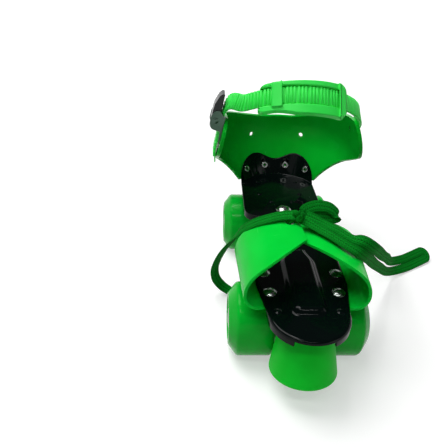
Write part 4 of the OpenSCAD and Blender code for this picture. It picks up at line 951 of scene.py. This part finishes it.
# %% Heel cup
leg_y, vent_z, vent_r, cup_lip, cup_fewest = 21.06, 98, 2.0, 1.0, 4
heights = np.arange(63.95, 146, 0.05)
wall = cup_radius(heights, cup_t / 2)
cup_share = eased_share(47, 0.4)
leg = leg_y + (cup_y - leg_y) * (1 - np.cos(np.linspace(0, math.pi / 2, 48)))
back_turn = np.radians(np.linspace(0, 180, 121)[1:-1])
stations = [(1, 0, y) for y in leg] + [(math.cos(a), math.sin(a), cup_y) for a in back_turn]
stations += [(-1, 0, y) for y in leg[::-1]]
cup_rows = []
for way_x, way_y, y in stations:
    held = np.flatnonzero(inside(cup_side_view, y + wall * way_y, heights))
    if len(held) >= cup_fewest:
        row_z = spread_over(heights, held, cup_share)
        cup_rows.append([(r * way_x, y + r * way_y, z) for r, z in zip(cup_radius(row_z, cup_t / 2), row_z)])
# The cup's finish is the darker copy of the flaps' green, with painted shade.
heel_cup = sheet_piece("heel_cup_moulded", cup_rows, shaded_cup_green)
thickened(heel_cup, cup_t, cup_lip, 4)
vents = []
for a in np.radians((65, 115)):
    way = Vector((math.cos(a), math.sin(a), 0))
    vents.append((Vector((0, cup_y, vent_z)) + way * float(cup_radius(vent_z, cup_t / 2)), way, vent_r, 12))
punched(heel_cup, vents)
stands_for(heel_cup, "green_plastic", "heel_cup")
print("heel cup faces:", len(heel_cup.data.polygons))

# %% [markdown]
# ## Ankle strap
# The strap is a soft ribbed band. It is riveted to one wing, rises in a loop in front of the ankle
# and runs down through the buckle on the other wing. The band itself is swept along its line; the
# ribs across it all have one shape, so Geometry Nodes set them on marked places along the band.

# %% Parts of the strap's line
attach_y, attach_z = 36.0, 139.0
loop_r, loop_lead, loop_rise = 53.485, 10, 40
turn_from, turn_over, turn_rise, flat_over = 135, 35, 54, 25
fixed_x, tail_x, tail_bend = 52.672, 53.672, 26
strap_step = 0.6


def loop_place(degrees):
    """Point of the loop at an angle and the way its flat side faces, which starts flat on the wings."""
    a, lead = math.radians(degrees), math.radians(loop_lead)
    turn = ease(max(0.0, (degrees - turn_from) / turn_over))
    rise = math.radians(loop_rise + turn_rise * turn)
    reach = loop_r * (math.sin(a) - math.sin(lead))
    out = np.array((math.cos(a), -math.sin(a) * math.cos(rise), math.sin(a) * math.sin(rise)))
    flat = ease(max(0.0, 1 - (min(degrees, 180 - degrees) - loop_lead) / flat_over))
    wing = np.array((math.copysign(math.cos(lean_in), 90 - degrees), 0, math.sin(lean_in)))
    y, z = attach_y - reach * math.cos(rise), attach_z + reach * math.sin(rise)
    return (loop_r * math.cos(a) - turn, y, z), flat * wing + (1 - flat) * out


def fixed_place(length):
    """Point on the riveted end, which slopes down behind the wing's nose."""
    slope = math.radians(loop_rise)
    drop = length * math.sin(slope)
    return ((fixed_x + drop * math.tan(lean_in), attach_y + length * math.cos(slope), attach_z - drop),
            (math.cos(lean_in), 0, math.sin(lean_in)))


def tail_place(length):
    """Point on the free end, which follows the wing and then hangs."""
    near, far = min(length, tail_bend), max(0.0, length - tail_bend)
    return ((-tail_x - near * math.sin(lean_in), attach_y, attach_z - near * math.cos(lean_in) - far),
            (-math.cos(lean_in), 0, math.sin(lean_in)))


print("loop starts at", [round(float(v), 1) for v in loop_place(loop_lead)[0]])

# %% Line of the strap
strap_places = [fixed_place(length) for length in np.linspace(30, 2, 15)]
strap_places += [loop_place(degrees) for degrees in np.linspace(loop_lead, 180 - loop_lead, 161)]
strap_places += [tail_place(length) for length in np.linspace(2, 38, 19)]
rough_line = np.array([place for place, _ in strap_places])
rough_out = np.array([out for _, out in strap_places])
rough_run = run_along(rough_line)
strap_run = np.arange(0, rough_run[-1], strap_step)
steps_to_end = np.minimum(np.arange(len(strap_run)), np.arange(len(strap_run))[::-1])


def resampled(values, soft):
    """Even steps along the strap, with the corners between its parts eased."""
    even = between(strap_run, rough_run, values)
    padded = np.vstack([even[:1].repeat(soft, 0), even, even[-1:].repeat(soft, 0)])
    window = np.hanning(2 * soft + 3)[1:-1]
    eased = np.stack([np.convolve(padded[:, k], window / window.sum(), "valid") for k in range(3)], 1)
    mix = np.clip(steps_to_end / soft, 0, 1)[:, None]
    return even * (1 - mix) + eased * mix


strap_line = resampled(rough_line, 10)
strap_along = unit(np.gradient(strap_line, axis=0))
strap_out = square_to(resampled(rough_out, 24), strap_along)
strap_side = np.cross(strap_along, strap_out)
print("strap", round(run_along(strap_line)[-1]), "mm long")

# %% Strap band
strap_half, band_low, band_high, tongue_l = 6.25, -1.1, -0.1, 4.0
section = rounded([(-strap_half, band_low), (strap_half, band_low), (strap_half, band_high),
                   (-strap_half, band_high)], [0.4] * 4, 3)
from_end = np.clip(steps_to_end * strap_step / tongue_l, 0, 1)
tongue = 0.35 + 0.65 * np.sqrt(np.clip(1 - (1 - from_end) ** 2, 0.04, 1))
band_points = [strap_line[i] + x * tongue[i] * strap_side[i] + z * strap_out[i]
               for i in range(len(strap_run)) for x, z in section]
band_end = tuple(range(len(section)))
band_faces = ring_faces(len(strap_run), len(section))
band_faces += [band_end, tuple(len(band_points) - 1 - k for k in band_end)]
strap_band = mesh_piece("ankle_strap_band", band_points, band_faces, strap_green)
tidy_mesh(strap_band.data, 50)
stands_for(strap_band, "green_strap", "ankle_strap")
print("strap band faces:", len(strap_band.data.polygons))

# %% [markdown]
# ### Shapes set on marked places
# Ribs and rivets repeat, so one Geometry Nodes tree serves both. It takes a mesh of loose points
# that carry two directions, the way a shape faces and the way it runs, sets a copy of the shape on
# each, and turns the copies into one plain mesh.


# %% Tree that sets shapes on places
def place_tree():
    tree = bpy.data.node_groups.new("shapes_on_places", "GeometryNodeTree")
    ids = {}
    for label, kind in (("Places", "Geometry"), ("Shape", "Object"), ("Finish", "Material")):
        socket = tree.interface.new_socket(label, in_out="INPUT", socket_type="NodeSocket" + kind)
        ids[label] = socket.identifier
    tree.interface.new_socket("Set", in_out="OUTPUT", socket_type="NodeSocketGeometry")
    nodes = {name: tree.nodes.new(kind) for name, kind in (
        ("given", "NodeGroupInput"), ("out", "NodeGroupOutput"),
        ("facing", "GeometryNodeInputNamedAttribute"), ("running", "GeometryNodeInputNamedAttribute"),
        ("turn", "FunctionNodeAxesToRotation"), ("source", "GeometryNodeObjectInfo"),
        ("setter", "GeometryNodeInstanceOnPoints"), ("real", "GeometryNodeRealizeInstances"),
        ("paint", "GeometryNodeSetMaterial"))}
    for label in ("facing", "running"):
        nodes[label].data_type = "FLOAT_VECTOR"
        nodes[label].inputs["Name"].default_value = label
    nodes["turn"].primary_axis, nodes["turn"].secondary_axis = "Z", "X"
    for start, result, end, socket in (
            ("facing", "Attribute", "turn", "Primary Axis"),
            ("running", "Attribute", "turn", "Secondary Axis"),
            ("given", "Shape", "source", "Object"), ("given", "Places", "setter", "Points"),
            ("source", "Geometry", "setter", "Instance"), ("turn", "Rotation", "setter", "Rotation"),
            ("setter", "Instances", "real", "Geometry"), ("real", "Geometry", "paint", "Geometry"),
            ("given", "Finish", "paint", "Material"), ("paint", "Geometry", "out", "Set")):
        tree.links.new(nodes[start].outputs[result], nodes[end].inputs[socket])
    return tree, ids


shapes_on_places, place_ids = place_tree()


def set_on_places(name, shape, places, finish, sharp):
    """places holds (point, facing, running) in millimetres; the shape's mesh is in metres."""
    piece = mesh_piece(name, [place[0] for place in places], [], finish)
    for label, k in (("facing", 1), ("running", 2)):
        layer = piece.data.attributes.new(label, "FLOAT_VECTOR", "POINT")
        layer.data.foreach_set("vector", np.array([place[k] for place in places], np.float32).ravel())
    modifier = piece.modifiers.new("places", "NODES")
    modifier.node_group = shapes_on_places
    modifier[place_ids["Shape"]] = shape
    modifier[place_ids["Finish"]] = finish
    settled(piece, sharp, outward=False)
    bpy.data.objects.remove(shape)
    print(name, "set on", len(places), "places,", len(piece.data.polygons), "faces")
    return piece


# %% Ribs of the strap
rib_pitch, rib_sink, plain_start, plain_end = 2.6, 0.14, 6, 5
rib_section = [(-0.92, 0.0), (-0.86, 0.80), (-0.55, 1.20), (0.55, 1.20), (0.86, 0.80), (0.92, 0.0)]
rib_ends = [(-6.05, 0.6), (-5.7, 1.0), (5.7, 1.0), (6.05, 0.6)]
rib_points = [(x, y, z * shrink) for x, shrink in rib_ends for y, z in rib_section]
rib_faces = ring_faces(4, 6) + [(5, 4, 3, 2, 1, 0), (18, 19, 20, 21, 22, 23)]
rib_shape = mesh_piece("rib_shape", rib_points, rib_faces, strap_green)
tidy_mesh(rib_shape.data, 60)
rib_at = np.searchsorted(strap_run, np.arange(plain_start, strap_run[-1] - plain_end, rib_pitch))
rib_places = [(strap_line[i] - rib_sink * strap_out[i], strap_out[i], strap_side[i]) for i in rib_at]
strap_ribs = set_on_places("ankle_strap_ribs", rib_shape, rib_places, strap_green, 60)
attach(strap_ribs, body_of_node["ankle_strap"])

# %% [markdown]
# ## Rivets
# Domed rivets hold the flaps, the heel strip, the strap and the buckle, and flat ones the rear truck
# and the toe stop. Each kind is a profile turned once, with its head, shank and closed end, and is
# set on its own places.


# %% Rivets of the plates
def lathe_shape(profile, closed):
    shape = mesh_piece("rivet_shape", *turned_mesh(profile, 32, closed), shaded_rivet_nickel)
    tidy_mesh(shape.data, 45)
    return shape


def rivet_shape(head_r, head_h, stack, end_r=3.2, end_h=1.2, shank_r=2.0):
    """A rivet whose head sits on Z = 0 and whose closed end lies below the stack."""
    ball = (head_r ** 2 + head_h ** 2) / (2 * head_h)
    dome = np.linspace(0, 0.93 * math.asin(head_r / ball), 9)[1:]
    profile = [(0.0, head_h)] + [(ball * math.sin(a), head_h - ball + ball * math.cos(a)) for a in dome]
    profile += [(head_r * 0.985, head_h * 0.10), (head_r, 0.0), (shank_r, -0.02), (shank_r, -stack)]
    profile += [(end_r, -stack - 0.02), (end_r * 0.97, -stack - end_h * 0.3)]
    profile += [(end_r * 0.6, -stack - end_h * 0.85), (0.0, -stack - end_h)]
    return lathe_shape(profile, closed=False)


def deck_places(spots):
    """Places on both sides of the deck."""
    return [((side * x, y, deck_z), (0, 0, 1), (1, 0, 0)) for side in (-1, 1) for x, y in spots]


def rivet_set(node, shape, places, finish, slot):
    stands_for(set_on_places(node + "_set", shape, places, finish, 45), slot, node)


bright, painted = (shaded_rivet_nickel, "bright_steel"), (paint_black, "black_steel")
rivet_set("toe_flap_rivets", rivet_shape(4.5, 2.0, 6.0), deck_places([(22.5, -80), (25, -60)]), *bright)
rivet_set("rear_truck_rivets", rivet_shape(2.5, 0.7, 3.5), deck_places([(18, 53), (18, 77)]), *painted)
rivet_set("toe_stop_rivets", rivet_shape(2.5, 0.7, 3.5), deck_places([(19.4, -98)]), *painted)

# %% Rivets of the heel
tube_head_z, tube_head_r, tube_head_h = 3.45, 4.5, 2.0
tube_corners = [
    (1.0, -2.47), (3.0, -2.47), (3.0, -1.70), (2.0, -1.67), (2.0, tube_head_z), (tube_head_r, tube_head_z),
    (4.45, 3.75)]
tube = rounded(tube_corners, [0.35, 0.38, 0.1, 0, 0, 0.1, 0.1], 4)
tube += [(tube_head_r * math.sin(a) / math.sin(1.0),
          tube_head_z + tube_head_h * (math.cos(a) - math.cos(1.0)) / (1 - math.cos(1.0)))
         for a in np.linspace(0.9, 0, 8)[:-1]]
tube += [(0.0, tube_head_z + tube_head_h), (0.0, 0.4), (1.0, 0.4)]
heel_places = []
for a in np.radians((48, 76, 104, 132)):
    way = (math.cos(a) * math.cos(flare), math.sin(a) * math.cos(flare), -math.sin(flare))
    spot = (heel_r * math.cos(a), cup_y + heel_r * math.sin(a), heel_z)
    heel_places.append((spot, way, (-math.sin(a), math.cos(a), 0)))
rivet_set("heel_rivets", lathe_shape(tube, closed=True), heel_places, *bright)

# %% Rivets of the strap and buckle
strap_rivet_at, strap_rivet_out, buckle_z, buckle_rivet_drop = 18, 1.3, 132, 6
strap_spot, strap_way = fixed_place(strap_rivet_at)
strap_base = Vector(strap_spot) + Vector(strap_way) * strap_rivet_out
strap_head = rivet_shape(4.0, 2.0, 5.3, end_r=2.05, end_h=0.15)
rivet_set("strap_rivet", strap_head, [(strap_base, strap_way, (0, 1, 0))], *bright)
wing_out = Vector((-math.cos(lean_in), 0, math.sin(lean_in)))
wing_up = Vector((math.sin(lean_in), 0, math.cos(lean_in)))
buckle_base = Vector((-float(cup_radius(buckle_z, cup_t)), attach_y, buckle_z))
buckle_spot = buckle_base - buckle_rivet_drop * wing_up - cup_t * wing_out
buckle_head = rivet_shape(3.5, 1.2, 3.4, end_r=2.05, end_h=0.15)
rivet_set("buckle_rivets", buckle_head, [(buckle_spot, -wing_out, (0, 1, 0))], *bright)

# %% [markdown]
# ## Steel strip round the heel
# A thin plated strip spreads the load of the four heel rivets. It follows the cup's flare, so it is
# a band of a cone with round ends. It is drawn as a grid in angle and height and given its
# thickness by Solidify.

# %% Heel strip
strip_span, strip_half, strip_end_r, strip_mean_r = 47, 4.5, 3, 45
strip_off, strip_t, strip_lip = cup_t + 0.45, 0.8, 0.22
strip_rows = []
for angle in np.linspace(-strip_span, strip_span, 95):
    a = math.radians(90 + angle)
    from_tip = (strip_span - abs(angle)) * math.radians(1) * strip_mean_r
    bow = math.sqrt(max(0.0, strip_end_r ** 2 - (strip_end_r - min(from_tip, strip_end_r)) ** 2))
    half = strip_half - strip_end_r + bow
    row = []
    for h in np.linspace(-half, half, 11):
        r = heel_r + strip_off * math.cos(flare) + h * math.sin(flare)
        z = heel_z - strip_off * math.sin(flare) + h * math.cos(flare)
        row.append((r * math.cos(a), cup_y + r * math.sin(a), z))
    strip_rows.append(row)
heel_strip = sheet_piece("heel_strip_plated", strip_rows, zinc_plate)
thickened(heel_strip, strip_t, strip_lip, 2)
stands_for(heel_strip, "zinc_steel", "heel_strip")
print("heel strip faces:", len(heel_strip.data.polygons))

# %% [markdown]
# ## Pieces that keep their solid's shape
# The trucks, cradles, heel plate, bar, buckle, strap pad and fasteners already have the right shape
# as solids. A solid's edges are knife sharp, and real pressed or moulded edges are not, so a copy of
# each mesh is merged, cleaned of its triangles on flat faces and bevelled.


# %% Softened copies
def softened(node, finish, slot, width, segments):
    piece = mesh_piece(node + "_soft", [], [], finish)
    work = bmesh.new()
    work.from_mesh(frame["nodes"][node].data)
    bmesh.ops.remove_doubles(work, verts=work.verts, dist=0.003 * MM)
    bmesh.ops.dissolve_limit(work, angle_limit=math.radians(0.6), verts=work.verts, edges=work.edges)
    work.to_mesh(piece.data)
    work.free()
    add_modifier(piece, "BEVEL", width=width * MM, segments=segments, limit_method="ANGLE",
                 angle_limit=math.radians(34), use_clamp_overlap=False, miter_outer="MITER_ARC",
                 harden_normals=True)
    smoothed(piece.data, 40)
    applied(piece)
    stands_for(piece, slot, node)


soft_sets = [
    ("front_truck rear_truck front_axle_cradle rear_axle_cradle toe_stop_bracket",
     paint_black, "black_steel", 0.5, 2),
    ("heel_plate", paint_black, "black_steel", 0.6, 3),
    ("slide_bar", zinc_plate, "zinc_steel", 0.4, 2),
    ("buckle_frame", shaded_buckle_zinc, "zinc_steel", 0.3, 2),
    ("buckle_lever", lever_black, "black_plastic", 0.8, 3),
    ("strap_pad", strap_green, "green_strap", 0.9, 4),
    ("buckle_pin", shaded_buckle_zinc, "zinc_steel", 0.2, 2),
    ("front_axle_nuts rear_axle_nuts front_bolt_nut adjusting_nut toe_stop_nut toe_stop_bolt",
     zinc_plate, "zinc_steel", 0.25, 2),
    ("front_axle rear_axle", zinc_plate, "zinc_steel", 0.7, 2),
    ("front_axle_washers rear_axle_washers front_clamp_washer adjusting_washer",
     zinc_plate, "zinc_steel", 0.2, 2),
    ("front_axle_spacers rear_axle_spacers", zinc_plate, "zinc_steel", 0.2, 2),
    ("front_bolt adjusting_bolt", nickel_plate, "bright_steel", 0.3, 2)]
for names, *settings in soft_sets:
    for node in names.split():
        softened(node, *settings)
print("softened copies:", sum(len(names.split()) for names, *_ in soft_sets))

# %% [markdown]
# ## Bearings
# The races and balls are ground steel and sit deep in the wheels. Their solids have the right
# shape and fine edges, so they stay, and only get the finish of ground steel.

# %% Bearings
for name, solid in frame["nodes"].items():
    if not solid.hide_render:
        solid.data.materials.clear()
        solid.data.materials.append(ground_steel)
        print("kept solid:", name)

# %% Finish
box_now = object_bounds()
for label, box in (("solids", solid_box), ("dressed", box_now)):
    print(label, [tuple(round(v, 4) for v in corner) for corner in box])
